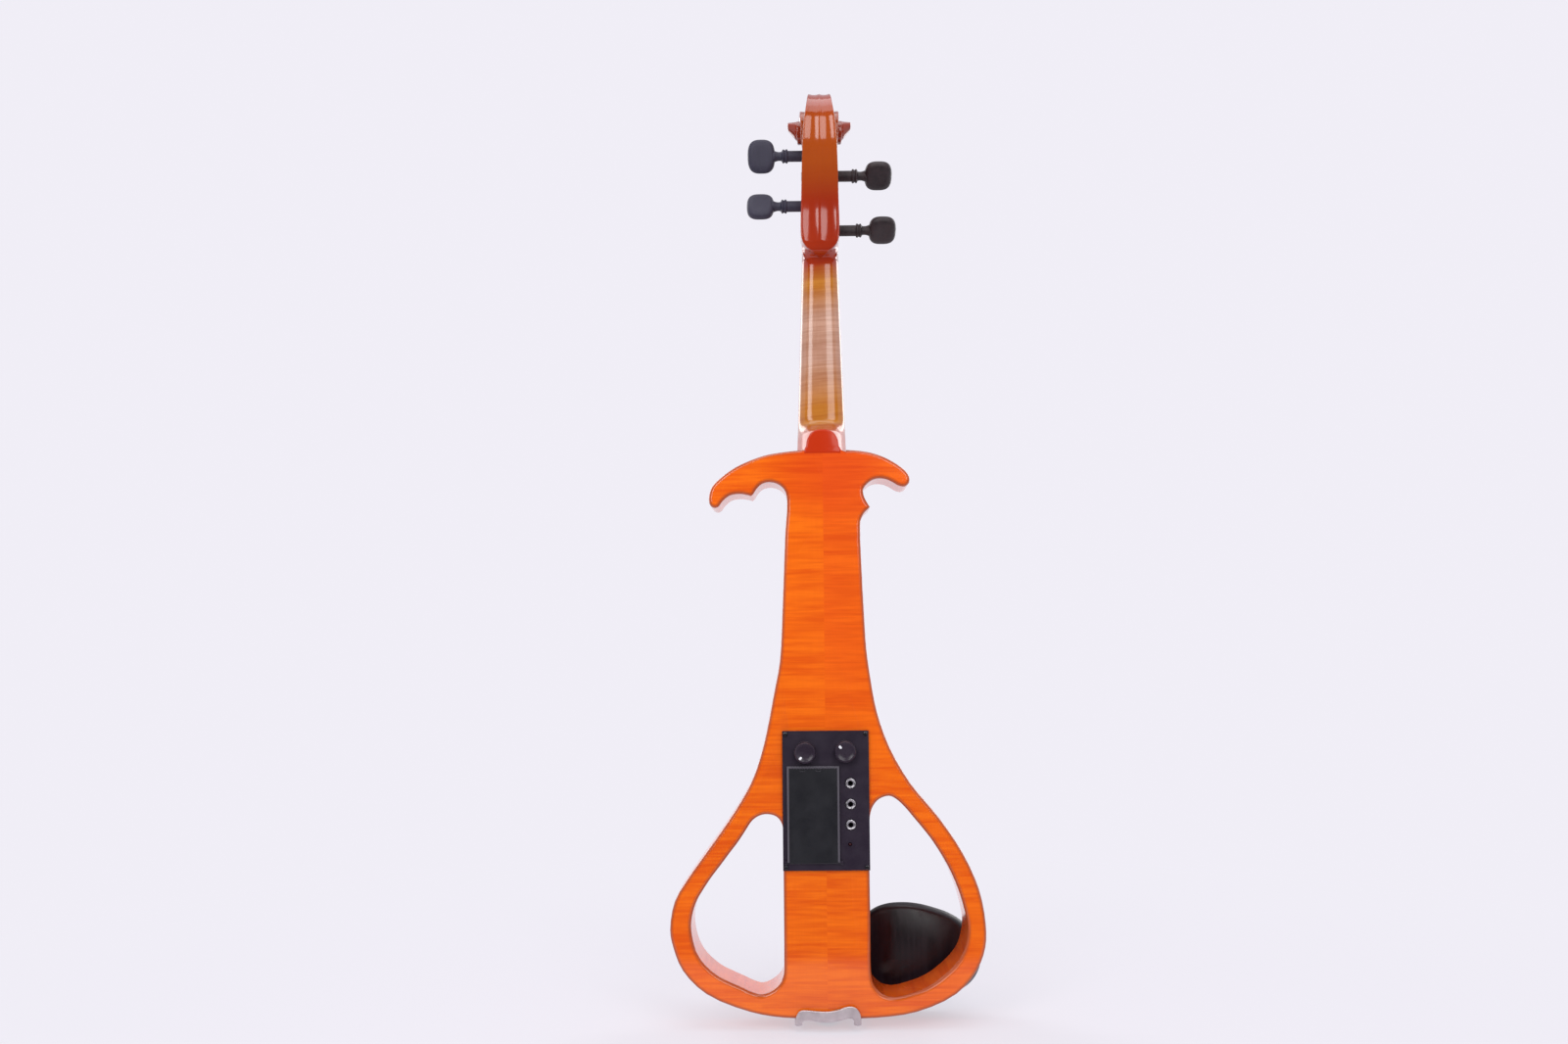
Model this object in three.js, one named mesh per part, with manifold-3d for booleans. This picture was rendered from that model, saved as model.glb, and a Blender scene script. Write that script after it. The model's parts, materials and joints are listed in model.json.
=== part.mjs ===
// Electric violin with an open frame body, a set neck and a preamplifier let into its back.
// Millimetres, scroll up. x is to the right as seen from behind, y points to the strings, z to the scroll.
// In the violin group x is 0 on the axis, y is 0 on the flat back and z is 0 at the body's bottom edge.
import * as THREE from 'three';
import { mergeVertices } from 'three/addons/utils/BufferGeometryUtils.js';
import Module from 'manifold-3d';

const wasm = await Module();
wasm.setup();

// Driving dimensions
const bodyLength = 356.5;
const bodyThickness = 38;
const lowerHalfWidth = 99;
const columnHalfWidth = 24;
const barHalfWidth = 27;
const leftWingReach = 72.9;
const rightWingReach = 55.7;
const wingDrop = 37.2;
const rimWidth = 12;
const rimFoot = 13;
const neckStop = 130;
const bridgeHeight = 33.2;
const boardPitch = THREE.MathUtils.degToRad(4.5);
const nutHeight = 40.1;
const eyeRise = 81.7;
const eyeForward = 9;
const scrollRadius = 22.8;
const pegboxHalfWidth = 12.8;
const pegboxDepth = 46.3;

// Clearances and cutting
const fitGap = 0.3;
const overrun = 6;
const weld = 1e-4;

// Roundness of turned and drilled shapes
const fineSides = 20;
const midSides = 14;
const lowSides = 8;
const wireSides = 8;
const windSides = 6;
const stepsPerTurn = 24;
const outlineSteps = 3;

const quarterTurn = Math.PI / 2;
const V2 = (x, y) => new THREE.Vector2(x, y);
const V3 = (x, y, z) => new THREE.Vector3(x, y, z);
const lerp = THREE.MathUtils.lerp;

// Points of a smooth open curve through hand-set points
function smooth(points, steps = outlineSteps) {
  const spatial = points.map((p) => V3(p.x, p.y, 0));
  const curve = new THREE.CatmullRomCurve3(spatial, false, 'centripetal');
  return curve.getPoints(steps * (points.length - 1)).map((p) => V2(p.x, p.y));
}

// Smooth closed outline through hand-set points
function smoothLoop(points, steps = outlineSteps) {
  const spatial = points.map((p) => V3(p.x, p.y, 0));
  const curve = new THREE.CatmullRomCurve3(spatial, true, 'centripetal');
  return curve.getPoints(steps * points.length).slice(0, -1).map((p) => V2(p.x, p.y));
}

// Joins smooth stretches that meet in corners, without doubled points
function joined(...stretches) {
  const all = stretches.flat();
  return all.filter((p, i) => p.distanceTo(all[(i + 1) % all.length]) > weld);
}

// The outline, anticlockwise, without points that lie on a straight line between their neighbours
function cornersOf(points) {
  const outline = THREE.ShapeUtils.isClockWise(points) ? [...points].reverse() : points;
  return outline.filter((p, i) => {
    const before = outline.at(i - 1);
    const after = outline[(i + 1) % outline.length];
    const chord = after.clone().sub(before);
    return Math.abs(chord.cross(p.clone().sub(before))) > weld * chord.length();
  });
}

// Extrusions of an outline drawn across one of the three directions
function slabAlongY(outline, low, high, holes = []) {
  const shape = new THREE.Shape(cornersOf(outline));
  shape.holes = holes.map((hole) => new THREE.Path(cornersOf(hole)));
  const geometry = new THREE.ExtrudeGeometry(shape, { depth: high - low, bevelEnabled: false });
  return geometry.rotateX(quarterTurn).translate(0, high, 0);
}

function slabAlongX(outline, low, high) {
  const shape = new THREE.Shape(cornersOf(outline));
  const geometry = new THREE.ExtrudeGeometry(shape, { depth: high - low, bevelEnabled: false });
  const turn = new THREE.Matrix4().makeBasis(V3(0, 1, 0), V3(0, 0, 1), V3(1, 0, 0));
  return geometry.applyMatrix4(turn).translate(low, 0, 0);
}

function slabAlongZ(outline, low, high) {
  const shape = new THREE.Shape(cornersOf(outline));
  const geometry = new THREE.ExtrudeGeometry(shape, { depth: high - low, bevelEnabled: false });
  return geometry.translate(0, 0, low);
}

function block(low, high) {
  const size = high.map((h, i) => h - low[i]);
  const centre = high.map((h, i) => (h + low[i]) / 2);
  return new THREE.BoxGeometry(...size).translate(...centre);
}

// Round rods along one of the three directions
function rodAlongY(radius, low, high, x, z, sides = midSides) {
  return new THREE.CylinderGeometry(radius, radius, high - low, sides).translate(x, (low + high) / 2, z);
}

function rodAlongX(radius, low, high, y, z, sides = midSides) {
  const rod = new THREE.CylinderGeometry(radius, radius, high - low, sides).rotateZ(-quarterTurn);
  return rod.translate((low + high) / 2, y, z);
}

function rodAlongZ(radius, low, high, x, y, sides = midSides) {
  const rod = new THREE.CylinderGeometry(radius, radius, high - low, sides).rotateX(quarterTurn);
  return rod.translate(x, y, (low + high) / 2);
}

// Turned piece about the y direction, from pairs of radius and height that start and end on the axis
function turned(profile, sides = midSides) {
  return new THREE.LatheGeometry(profile.map(([radius, height]) => V2(radius, height)), sides);
}

// Surface over rings with equally many points, closed by flat ends
function loft(rings) {
  const count = rings[0].length;
  const positions = rings.flat().flatMap((p) => [p.x, p.y, p.z]);
  const index = [];
  for (let r = 0; r < rings.length - 1; r += 1) {
    for (let i = 0; i < count; i += 1) {
      const a = r * count + i;
      const b = r * count + (i + 1) % count;
      index.push(a, b, a + count, b, b + count, a + count);
    }
  }
  const last = (rings.length - 1) * count;
  for (let i = 1; i < count - 1; i += 1) {
    index.push(0, i + 1, i);
    index.push(last, last + i, last + i + 1);
  }
  const geometry = new THREE.BufferGeometry();
  geometry.setAttribute('position', new THREE.Float32BufferAttribute(positions, 3));
  geometry.setIndex(index);
  return geometry;
}

// Round tube through the points of a path, mitred at its bends
function tube(path, radius, sides) {
  const heading = (i, j) => path[j].clone().sub(path[i]).normalize();
  const last = path.length - 1;
  const normal = V3(0, 0, 1).cross(heading(0, 1));
  if (normal.length() < weld) normal.set(1, 0, 0);
  normal.normalize();
  const rings = path.map((point, i) => {
    const before = heading(Math.max(i - 1, 0), Math.max(i, 1));
    const after = heading(Math.min(i, last - 1), Math.min(i + 1, last));
    const along = before.clone().add(after).normalize();
    normal.addScaledVector(along, -normal.dot(along)).normalize();
    const other = along.clone().cross(normal);
    const bend = before.clone().cross(after);
    const mitre = 1 / Math.max(along.dot(before), 0.5);
    const across = bend.length() > weld ? along.clone().cross(bend).normalize() : normal.clone();
    return Array.from({ length: sides }, (_, s) => {
      const turn = (2 * Math.PI * s) / sides;
      const spoke = normal.clone().multiplyScalar(Math.cos(turn)).addScaledVector(other, Math.sin(turn));
      spoke.addScaledVector(across, spoke.dot(across) * (mitre - 1));
      return point.clone().addScaledVector(spoke, radius);
    });
  });
  return loft(rings);
}

// Solids for joining and cutting
function solid(geometry) {
  const bare = geometry.clone();
  bare.deleteAttribute('normal');
  bare.deleteAttribute('uv');
  const merged = mergeVertices(bare, weld);
  const corners = merged.index.array;
  const kept = [];
  for (let i = 0; i < corners.length; i += 3) {
    const [a, b, c] = [corners[i], corners[i + 1], corners[i + 2]];
    if (a !== b && b !== c && a !== c) kept.push(a, b, c);
  }
  const mesh = new wasm.Mesh({
    numProp: 3,
    vertProperties: merged.attributes.position.array,
    triVerts: new Uint32Array(kept),
  });
  return new wasm.Manifold(mesh);
}

function geometryOf(manifold) {
  const mesh = manifold.getMesh();
  const geometry = new THREE.BufferGeometry();
  geometry.setAttribute('position', new THREE.Float32BufferAttribute(mesh.vertProperties, 3));
  geometry.setIndex(Array.from(mesh.triVerts));
  const flat = geometry.toNonIndexed();
  flat.computeVertexNormals();
  return flat;
}

function join(...geometries) {
  const [first, ...rest] = geometries.map(solid);
  return geometryOf(rest.reduce((sum, next) => sum.add(next), first));
}

function cut(base, ...tools) {
  return geometryOf(tools.map(solid).reduce((left, tool) => left.subtract(tool), solid(base)));
}

function overlap(first, second) {
  return geometryOf(solid(first).intersect(solid(second)));
}

// Materials
const finish = (color, roughness, metalness = 0) => (
  new THREE.MeshStandardMaterial({ color, roughness, metalness })
);
const varnishedMaple = finish(0xe2600f, 0.25);
const headVarnish = finish(0xb23c10, 0.25);
const ebony = finish(0x1c1816, 0.45);
const blackPlastic = finish(0x26242a, 0.5);
const rubberedPlastic = finish(0x1b1a1d, 0.6);
const bridgeMaple = finish(0xd9b27c, 0.55);
const nickel = finish(0xb9b9bb, 0.3, 1);
const wire = finish(0x9d9ea2, 0.35, 1);
const cork = finish(0x9c7648, 0.9);
const boardGreen = finish(0x1f5a38, 0.5);
const lampRed = finish(0x7a1010, 0.2);
const nylon = finish(0x151515, 0.5);
const batteryShell = finish(0x3c3f45, 0.4);

const violin = new THREE.Group();

function piece(name, geometry, material, parent = violin) {
  const mesh = new THREE.Mesh(geometry, material);
  mesh.name = name;
  parent.add(mesh);
  return mesh;
}

// Heights that follow from the driving dimensions
const bridgeShare = 0.453;
const tailFretShare = 0.669;
const boardShare = 0.831;
const leftHoleShare = 0.316;
const rightHoleShare = 0.3467;
const nutPlace = bodyLength + neckStop;
const bridgePlace = bodyLength * bridgeShare;
const bridgeTop = bodyThickness + bridgeHeight;
const eyePlace = nutPlace + eyeRise;
const boardLength = (nutPlace - bridgePlace) * boardShare;
const leftHoleHeight = bodyLength * leftHoleShare;
const rightHoleHeight = bodyLength * rightHoleShare;

// Body frame outline: shares run outward from the column and down from the top, or up from the bottom
const rightWingUpperShares = [
  [-0.28, 0.01], [0.14, 0.048], [0.41, 0.116], [0.62, 0.202], [0.82, 0.312], [0.95, 0.419],
  [1, 0.524], [0.97, 0.608], [0.89, 0.656], [0.776, 0.642], [0.653, 0.581], [0.543, 0.535],
  [0.404, 0.513], [0.265, 0.532], [0.158, 0.589], [0.073, 0.672], [0.057, 0.766], [0.098, 0.874],
  [0.192, 1.005],
];
const rightWingLowerShares = [[0.192, 1.005], [0.079, 1.1], [0.01, 1.204], [-0.01, 1.347]];
const leftWingUpperShares = [
  [-0.26, 0.005], [0.1, 0.054], [0.28, 0.1], [0.517, 0.212], [0.695, 0.331], [0.838, 0.468],
  [0.959, 0.624], [1, 0.78], [1, 0.906], [0.97, 0.976], [0.924, 1], [0.875, 0.976], [0.828, 0.892],
  [0.734, 0.79], [0.603, 0.761], [0.5, 0.782], [0.45, 0.8],
];
const leftWingLowerShares = [
  [0.45, 0.8], [0.42, 0.765], [0.378, 0.677], [0.307, 0.591], [0.211, 0.562], [0.104, 0.594],
  [0.022, 0.683], [-0.014, 0.801], [-0.018, 1.04],
];
const rightSideShares = [
  [0.007, 0.769], [0.02, 0.704], [0.036, 0.642], [0.067, 0.591], [0.12, 0.529], [0.223, 0.467],
  [0.391, 0.405], [0.632, 0.343], [0.823, 0.282], [0.948, 0.221], [1, 0.161], [0.993, 0.12],
  [0.919, 0.081], [0.745, 0.041], [0.42, 0.011], [0.08, 0.001],
];
const leftSideShares = [
  [0.003, 0.857], [0.016, 0.801], [0.036, 0.7], [0.06, 0.62], [0.111, 0.564], [0.175, 0.496],
  [0.235, 0.448], [0.309, 0.407], [0.421, 0.366], [0.553, 0.325], [0.693, 0.285], [0.833, 0.244],
  [0.948, 0.204], [0.99, 0.153], [0.964, 0.123], [0.884, 0.083], [0.689, 0.043], [0.324, 0.012],
  [0.049, 0.002],
];
// Openings: shares run outward from the centre bar and up from the bottom rim
const leftHoleShares = [
  [0.16, 1], [0.067, 0.985], [0.012, 0.944], [0, 0.879], [0, 0.65], [0, 0.42], [0, 0.208],
  [0.006, 0.125], [0.045, 0.078], [0.12, 0.042], [0.233, 0.018], [0.33, 0.03], [0.44, 0.057], [0.56, 0.085],
  [0.688, 0.12], [0.83, 0.185], [0.902, 0.242], [0.945, 0.306], [0.967, 0.39], [0.947, 0.466],
  [0.905, 0.53], [0.833, 0.594], [0.752, 0.657], [0.658, 0.721], [0.567, 0.785], [0.473, 0.849],
  [0.392, 0.913], [0.325, 0.965], [0.245, 0.993],
];
const rightHoleShares = [
  [0.212, 1], [0.11, 0.985], [0.045, 0.951], [0.01, 0.9], [0, 0.77], [0, 0.55], [0, 0.333],
  [0, 0.139], [0.01, 0.091], [0.028, 0.061], [0.07, 0.033], [0.135, 0.009], [0.225, 0], [0.31, 0.004],
  [0.405, 0.016], [0.532, 0.036], [0.658, 0.068], [0.768, 0.108], [0.872, 0.155], [0.948, 0.206],
  [0.993, 0.267], [1.01, 0.323], [1.005, 0.367], [0.982, 0.427], [0.917, 0.534], [0.813, 0.65],
  [0.665, 0.769], [0.575, 0.827], [0.475, 0.886], [0.373, 0.945], [0.283, 0.985],
];

function wingPoints(shares, side, reach) {
  return shares.map(([out, down]) => (
    V2(side * lerp(columnHalfWidth, reach, out), bodyLength - wingDrop * down)
  ));
}

function sidePoints(shares, side) {
  return shares.map(([out, up]) => (
    V2(side * lerp(columnHalfWidth, lowerHalfWidth, out), bodyLength * up)
  ));
}

function holeLoop(shares, side, height) {
  const reach = lowerHalfWidth - rimWidth;
  return smoothLoop(shares.map(([out, up]) => (
    V2(side * lerp(barHalfWidth, reach, out), rimFoot + height * up)
  )));
}

const bodyTop = V2(0, bodyLength);
const bodyFoot = V2(0, 0);
const rightEdge = [
  ...wingPoints(rightWingLowerShares, 1, rightWingReach), ...sidePoints(rightSideShares, 1), bodyFoot,
];
const leftEdge = [
  ...wingPoints(leftWingLowerShares, -1, leftWingReach), ...sidePoints(leftSideShares, -1), bodyFoot,
];
const bodyOutline = joined(
  smooth([bodyTop, ...wingPoints(rightWingUpperShares, 1, rightWingReach)]),
  smooth(rightEdge),
  smooth(leftEdge).reverse(),
  smooth([bodyTop, ...wingPoints(leftWingUpperShares, -1, leftWingReach)]).reverse(),
);
const bodyHoles = [
  holeLoop(leftHoleShares, -1, leftHoleHeight), holeLoop(rightHoleShares, 1, rightHoleHeight),
];

// Preamplifier places on the back, shared by the panel, its pieces and the body's pocket
const panelHeight = 86.5;
const panelThickness = 1.8;
const panelPast = 0.15;
const panelOverBridge = 16.2;
const panelHalfWidth = barHalfWidth + panelPast;
const panelHigh = bridgePlace + panelOverBridge;
const panelLow = panelHigh - panelHeight;
const panelFace = -fitGap - panelThickness;
const screwInset = 1.9;
const screwRadius = 0.8;
const screwLength = 8;
const screwX = panelHalfWidth - screwInset;
const screwPlaces = [
  ['panel_screw_1', -screwX, panelHigh - screwInset],
  ['panel_screw_2', screwX, panelHigh - screwInset],
  ['panel_screw_3', -screwX, panelLow + screwInset],
  ['panel_screw_4', screwX, panelLow + screwInset],
];
const pocketSideWall = 3.6;
const pocketInset = 4.6;
const pocketDepth = 30;
const pocketHalfWidth = barHalfWidth - pocketSideWall;
const pocketLow = panelLow + pocketInset + fitGap;
const pocketHigh = panelHigh - pocketInset;

// Neck tenon, saddle, end button and pickup seats, shared with the body's cuts
const tenonHalfWidth = 12;
const tenonLength = 12;
const tenonBack = 9;
const saddleHalfWidth = 10;
const saddleDepth = 6.2;
const saddleSeat = 6.5;
const saddleRise = 3.4;
const buttonShankRadius = 3.6;
const buttonShankLength = 14;
const pickupHalfLength = 21;
const pickupWidth = 3.6;
const pickupThickness = 1.1;
const pickupSeatHalf = pickupHalfLength + fitGap;
const pickupSeatWidth = pickupWidth + fitGap * 2;
const leadRadius = 0.7;
const buttonForward = bodyThickness / 2;

piece('body_frame', cut(
  slabAlongY(bodyOutline, 0, bodyThickness, bodyHoles),
  block([-pocketHalfWidth, -overrun, pocketLow], [pocketHalfWidth, pocketDepth, pocketHigh]),
  block(
    [-tenonHalfWidth - fitGap, tenonBack - fitGap, bodyLength - tenonLength - fitGap],
    [tenonHalfWidth + fitGap, bodyThickness + overrun, bodyLength + overrun],
  ),
  block(
    [-saddleHalfWidth - fitGap, bodyThickness - saddleSeat - fitGap, -overrun],
    [saddleHalfWidth + fitGap, bodyThickness + overrun, saddleDepth + fitGap],
  ),
  block(
    [-pickupSeatHalf, bodyThickness - pickupThickness - fitGap, bridgePlace - pickupSeatWidth / 2],
    [pickupSeatHalf, bodyThickness + overrun, bridgePlace + pickupSeatWidth / 2],
  ),
  rodAlongY(leadRadius + fitGap, pocketDepth - overrun, bodyThickness, 0, bridgePlace, lowSides),
  rodAlongZ(buttonShankRadius + fitGap, -overrun, buttonShankLength + fitGap, 0, buttonForward),
  ...screwPlaces.map(([, x, z]) => (
    rodAlongY(screwRadius + fitGap, -overrun, screwLength, x, z, lowSides)
  )),
), varnishedMaple);

// Fingerboard: crowned top, flat underside, glued to the neck and free over the body
const boardNutHalf = 12;
const boardEndHalf = 21;
const boardRadius = 42;
const boardEdge = 5;
const crownSteps = 10;
const boardEndPlace = nutPlace - boardLength;
const crownDrop = (half, radius) => radius - Math.sqrt(radius * radius - half * half);
const boardCrown = (z) => nutHeight + (nutPlace - z) * Math.tan(boardPitch);
const boardHalf = (z) => lerp(boardNutHalf, boardEndHalf, (nutPlace - z) / boardLength);
const underAtNut = nutHeight - crownDrop(boardNutHalf, boardRadius) - boardEdge;
const underAtEnd = boardCrown(boardEndPlace) - crownDrop(boardEndHalf, boardRadius) - boardEdge;
const boardUnder = (z) => lerp(underAtNut, underAtEnd, (nutPlace - z) / boardLength);

// Section with a flat bottom and a crowned top, across the z direction
function crownedRing(half, bottom, top, radius, z) {
  const crown = Array.from({ length: crownSteps + 1 }, (_, i) => {
    const x = lerp(half, -half, i / crownSteps);
    return V3(x, top - crownDrop(Math.abs(x), radius), z);
  });
  return [V3(-half, bottom, z), V3(half, bottom, z), ...crown];
}

piece('fingerboard', loft([boardEndPlace, nutPlace - fitGap].map((z) => (
  crownedRing(boardHalf(z), boardUnder(z), boardCrown(z), boardRadius, z)
))), ebony);

const nutThickness = 5.3;
const nutLip = 0.5;
piece('nut', loft([nutPlace, nutPlace + nutThickness].map((z) => (
  crownedRing(boardNutHalf, boardUnder(nutPlace), nutHeight + nutLip, boardRadius, z)
))), ebony);

// Neck: round-backed handle that ends in a heel at the body and carries the head
const neckDepthAtNut = 19;
const neckDepthAtHeel = 21;
const heelLength = 33;
const heelTaperShare = 0.3;
const heelRoundShare = 0.42;
const neckRoundShare = 0.86;
const neckRingSteps = 12;
const neckEndPast = 4;
const neckRoot = bodyLength + fitGap;
const heelEnd = neckRoot + heelLength;
const heelProfileShares = [
  [0, 0], [0.2, 0], [0.33, 0.04], [0.43, 0.15], [0.52, 0.33], [0.61, 0.55], [0.7, 0.74], [0.82, 0.9],
  [1, 1],
];
const neckPlaceShares = [0.15, 0.4, 0.65, 0.85];
const neckBackAtNut = nutHeight - neckDepthAtNut;
const neckBackAtHeel = boardCrown(heelEnd) - neckDepthAtHeel;

function neckRing(z, back, heelShare) {
  const half = boardHalf(z);
  const front = boardUnder(z) - fitGap;
  const power = lerp(neckRoundShare, heelRoundShare, heelShare);
  const taper = heelTaperShare * heelShare;
  return Array.from({ length: neckRingSteps + 1 }, (_, i) => {
    const turn = (Math.PI * i) / neckRingSteps;
    const across = Math.sign(Math.cos(turn)) * Math.abs(Math.cos(turn)) ** power;
    const deep = Math.sin(turn) ** power;
    return V3(half * across * (1 - taper * deep), front - (front - back) * deep, z);
  }).reverse();
}

const heelRings = heelProfileShares.map(([up, forward]) => (
  neckRing(neckRoot + heelLength * up, neckBackAtHeel * forward, 1 - up)
));
const shaftRings = [...neckPlaceShares, 1].map((up) => (
  neckRing(lerp(heelEnd, nutPlace + neckEndPast, up), lerp(neckBackAtHeel, neckBackAtNut, up), 0)
));

// Head, drawn from the side: shares run back from the nut's seat and up from the nut to the scroll's eye
const chinShares = [
  [0.2, 0], [0.3, 0], [0.43, 0.01], [0.496, 0.034], [0.528, 0.08], [0.567, 0.165], [0.626, 0.312],
  [0.685, 0.471], [0.735, 0.618], [0.793, 0.728], [0.887, 0.83],
];
const voluteShares = [
  [-15, 1.01], [10, 1], [45, 1.03], [75, 1.07], [95, 1.08], [125, 1.03], [155, 0.94], [180, 0.86],
  [215, 0.78],
];
const cheekShares = [[0.235, 0.82], [0.193, 0.7], [0.104, 0.41], [0.028, 0.129], [0, 0.04], [0, 0]];
// Head, drawn from behind: height share and half-width share
const headPlanShares = [
  [0.01, 0.1], [0.03, 0.5], [0.07, 0.8], [0.115, 0.95], [0.185, 1], [0.49, 0.94], [0.81, 0.88],
  [0.97, 0.81], [1.1, 0.7], [1.2, 0.61], [1.34, 0.5],
];
const headSide = ([back, up]) => (
  V2(boardUnder(nutPlace) - fitGap - pegboxDepth * back, nutPlace + eyeRise * up)
);
const volutePoint = ([degrees, share]) => {
  const turn = THREE.MathUtils.degToRad(degrees);
  const radius = scrollRadius * share;
  return V2(eyeForward - radius * Math.cos(turn), eyePlace + radius * Math.sin(turn));
};
const headProfile = joined(
  smooth([...chinShares.map(headSide), ...voluteShares.map(volutePoint)]),
  cheekShares.map(headSide),
);
const headPlanSide = (side) => smooth(headPlanShares.map(([up, wide]) => (
  V2(side * pegboxHalfWidth * wide, nutPlace + eyeRise * up)
)), 2);
const headPlan = joined(headPlanSide(1), headPlanSide(-1).reverse());
const headReach = pegboxDepth * 2;
const nutBlockRise = 16;

// Second turn and eyes of the volute, turned about the eye's axis, as radius and half-width
const secondTurnRadius = 13.2;
const secondTurnHalf = 12.4;
const earRadius = 8.4;
const earEndRadius = 6.2;
const earHalf = 20.8;
const earRound = 1.6;
const voluteTurns = turned([
  [0, -earHalf], [earEndRadius, -earHalf], [earEndRadius + earRound / 2, -earHalf + earRound],
  [earRadius, -secondTurnHalf], [secondTurnRadius, -secondTurnHalf], [secondTurnRadius, secondTurnHalf],
  [earRadius, secondTurnHalf], [earEndRadius + earRound / 2, earHalf - earRound], [earEndRadius, earHalf],
  [0, earHalf],
], fineSides).rotateZ(-quarterTurn).translate(0, eyeForward, eyePlace);
// Cuts that give the ears a flat top and a slanting lower side, as shares of the ear's reach and radius
const earTopShares = [[0.6, 0.84], [1.1, 0.84], [1.1, 1.3], [0.6, 1.3]];
const earLowShares = [
  [0.596, -1.3], [0.596, -1.02], [0.7, -0.95], [0.83, -0.72], [0.94, -0.22], [1, 0.42], [1.1, 0.5],
  [1.1, -1.3],
];
const earCut = (shares, side) => slabAlongY(shares.map(([out, up]) => (
  V2(side * earHalf * out, eyePlace + earRadius * up)
)), eyeForward - scrollRadius, eyeForward + scrollRadius);

// Pegs: place up the pegbox as a share of the eye's height, side of the head, turn and string diameter
const pegRadius = 3.6;
const pegLineForward = 22.8;
const pegLineFall = 8.8;
const highPegShare = 0.817;
const wound = (diameter, turns) => ({ diameter, turns });
const pegs = [
  { key: 'g', riseShare: 0.221, side: 1, turnDegrees: 58, pulledOut: 2, ...wound(0.8, 2.5) },
  { key: 'd', riseShare: 0.654, side: 1, turnDegrees: 56, pulledOut: -0.5, ...wound(0.75, 2.5) },
  { key: 'a', riseShare: highPegShare, side: -1, turnDegrees: 12, pulledOut: -0.9, ...wound(0.65, 3) },
  { key: 'e', riseShare: 0.419, side: -1, turnDegrees: -33, pulledOut: 0, ...wound(0.4, 3) },
];
const pegPlace = ({ riseShare }) => V3(
  0,
  pegLineForward - (pegLineFall * riseShare) / highPegShare,
  nutPlace + eyeRise * riseShare,
);

// Trough of the pegbox
const troughShares = [
  [-0.2, 0.105], [0.36, 0.105], [0.455, 0.2], [0.53, 0.41], [0.585, 0.65], [0.6, 0.9], [-0.2, 0.9],
];
const cheekThickness = 4.7;
const troughNarrowing = 1.4;
const troughHalf = pegboxHalfWidth - cheekThickness;
const troughPlan = [
  V2(-troughHalf, nutPlace), V2(troughHalf, nutPlace),
  V2(troughHalf - troughNarrowing, eyePlace), V2(-troughHalf + troughNarrowing, eyePlace),
];
const trough = overlap(
  slabAlongX(troughShares.map(headSide), -troughHalf, troughHalf),
  slabAlongY(troughPlan, -headReach, headReach),
);
const headBlank = overlap(
  slabAlongX(headProfile, -pegboxHalfWidth, pegboxHalfWidth),
  join(
    slabAlongY(headPlan, -headReach, headReach),
    block([-boardNutHalf, neckBackAtNut, nutPlace], [boardNutHalf, headReach, nutPlace + nutBlockRise]),
  ),
);

piece('neck', cut(
  join(
    loft([...heelRings, ...shaftRings]),
    block(
      [-tenonHalfWidth, tenonBack, bodyLength - tenonLength],
      [tenonHalfWidth, bodyThickness, neckRoot + overrun],
    ),
    headBlank,
    voluteTurns,
  ),
  trough,
  ...[1, -1].flatMap((side) => [earCut(earTopShares, side), earCut(earLowShares, side)]),
  ...pegs.map((peg) => {
    const at = pegPlace(peg);
    return rodAlongX(pegRadius + fitGap, -secondTurnHalf - overrun, secondTurnHalf + overrun, at.y, at.z);
  }),
), headVarnish);

// Peg: shank through both cheeks, collar, and a flat oval head
const pegTipRadius = 3.2;
const pegTipInset = 0.2;
const pegNeckRadius = 3;
const collarRadius = 4.6;
const collarStart = 21.8;
const collarLength = 3.9;
const collarRound = 0.6;
const headStart = 30.2;
const headLength = 18;
const headHalfHeight = 11;
const headHalfDepth = 4.7;
const headSquareness = 2.8;
const headRings = 7;

function pegHead() {
  const profile = Array.from({ length: headRings + 1 }, (_, i) => {
    const along = -Math.cos((Math.PI * i) / headRings);
    const round = (1 - Math.abs(along) ** headSquareness) ** (1 / headSquareness);
    return [headHalfHeight * round, headStart + (headLength / 2) * (1 + along)];
  });
  return turned(profile, lowSides * 2).scale(headHalfDepth / headHalfHeight, 1, 1);
}

// Half-width of the head where a peg goes through
function cheekHalf({ riseShare }) {
  const next = headPlanShares.findIndex(([up]) => up > riseShare);
  const [lowUp, lowWide] = headPlanShares[next - 1];
  const [highUp, highWide] = headPlanShares[next];
  return pegboxHalfWidth * lerp(lowWide, highWide, (riseShare - lowUp) / (highUp - lowUp));
}

function pegShank(peg) {
  const tip = pegTipInset - cheekHalf(peg) - peg.pulledOut;
  return turned([
    [0, tip], [pegTipRadius, tip], [pegRadius, tip + cheekThickness], [pegRadius, collarStart],
    [collarRadius, collarStart + collarRound], [collarRadius, collarStart + collarLength - collarRound],
    [pegNeckRadius, collarStart + collarLength], [pegNeckRadius, headStart + headLength / 2],
    [0, headStart + headLength / 2],
  ], lowSides + 2);
}

// Strings: even spreads at the nut, the bridge and the tailpiece, from the lowest string to the highest
const stringOrder = ['g', 'd', 'a', 'e'];
const nutSpread = 16.4;
const bridgeSpread = 34;
const tailSpread = 28;
const touchInset = 0.5;
const middle = (stringOrder.length - 1) / 2;
const bridgeRadius = 42;
const spreadPlace = (key, spread) => (spread / 2) * (1 - stringOrder.indexOf(key) / middle);

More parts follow.
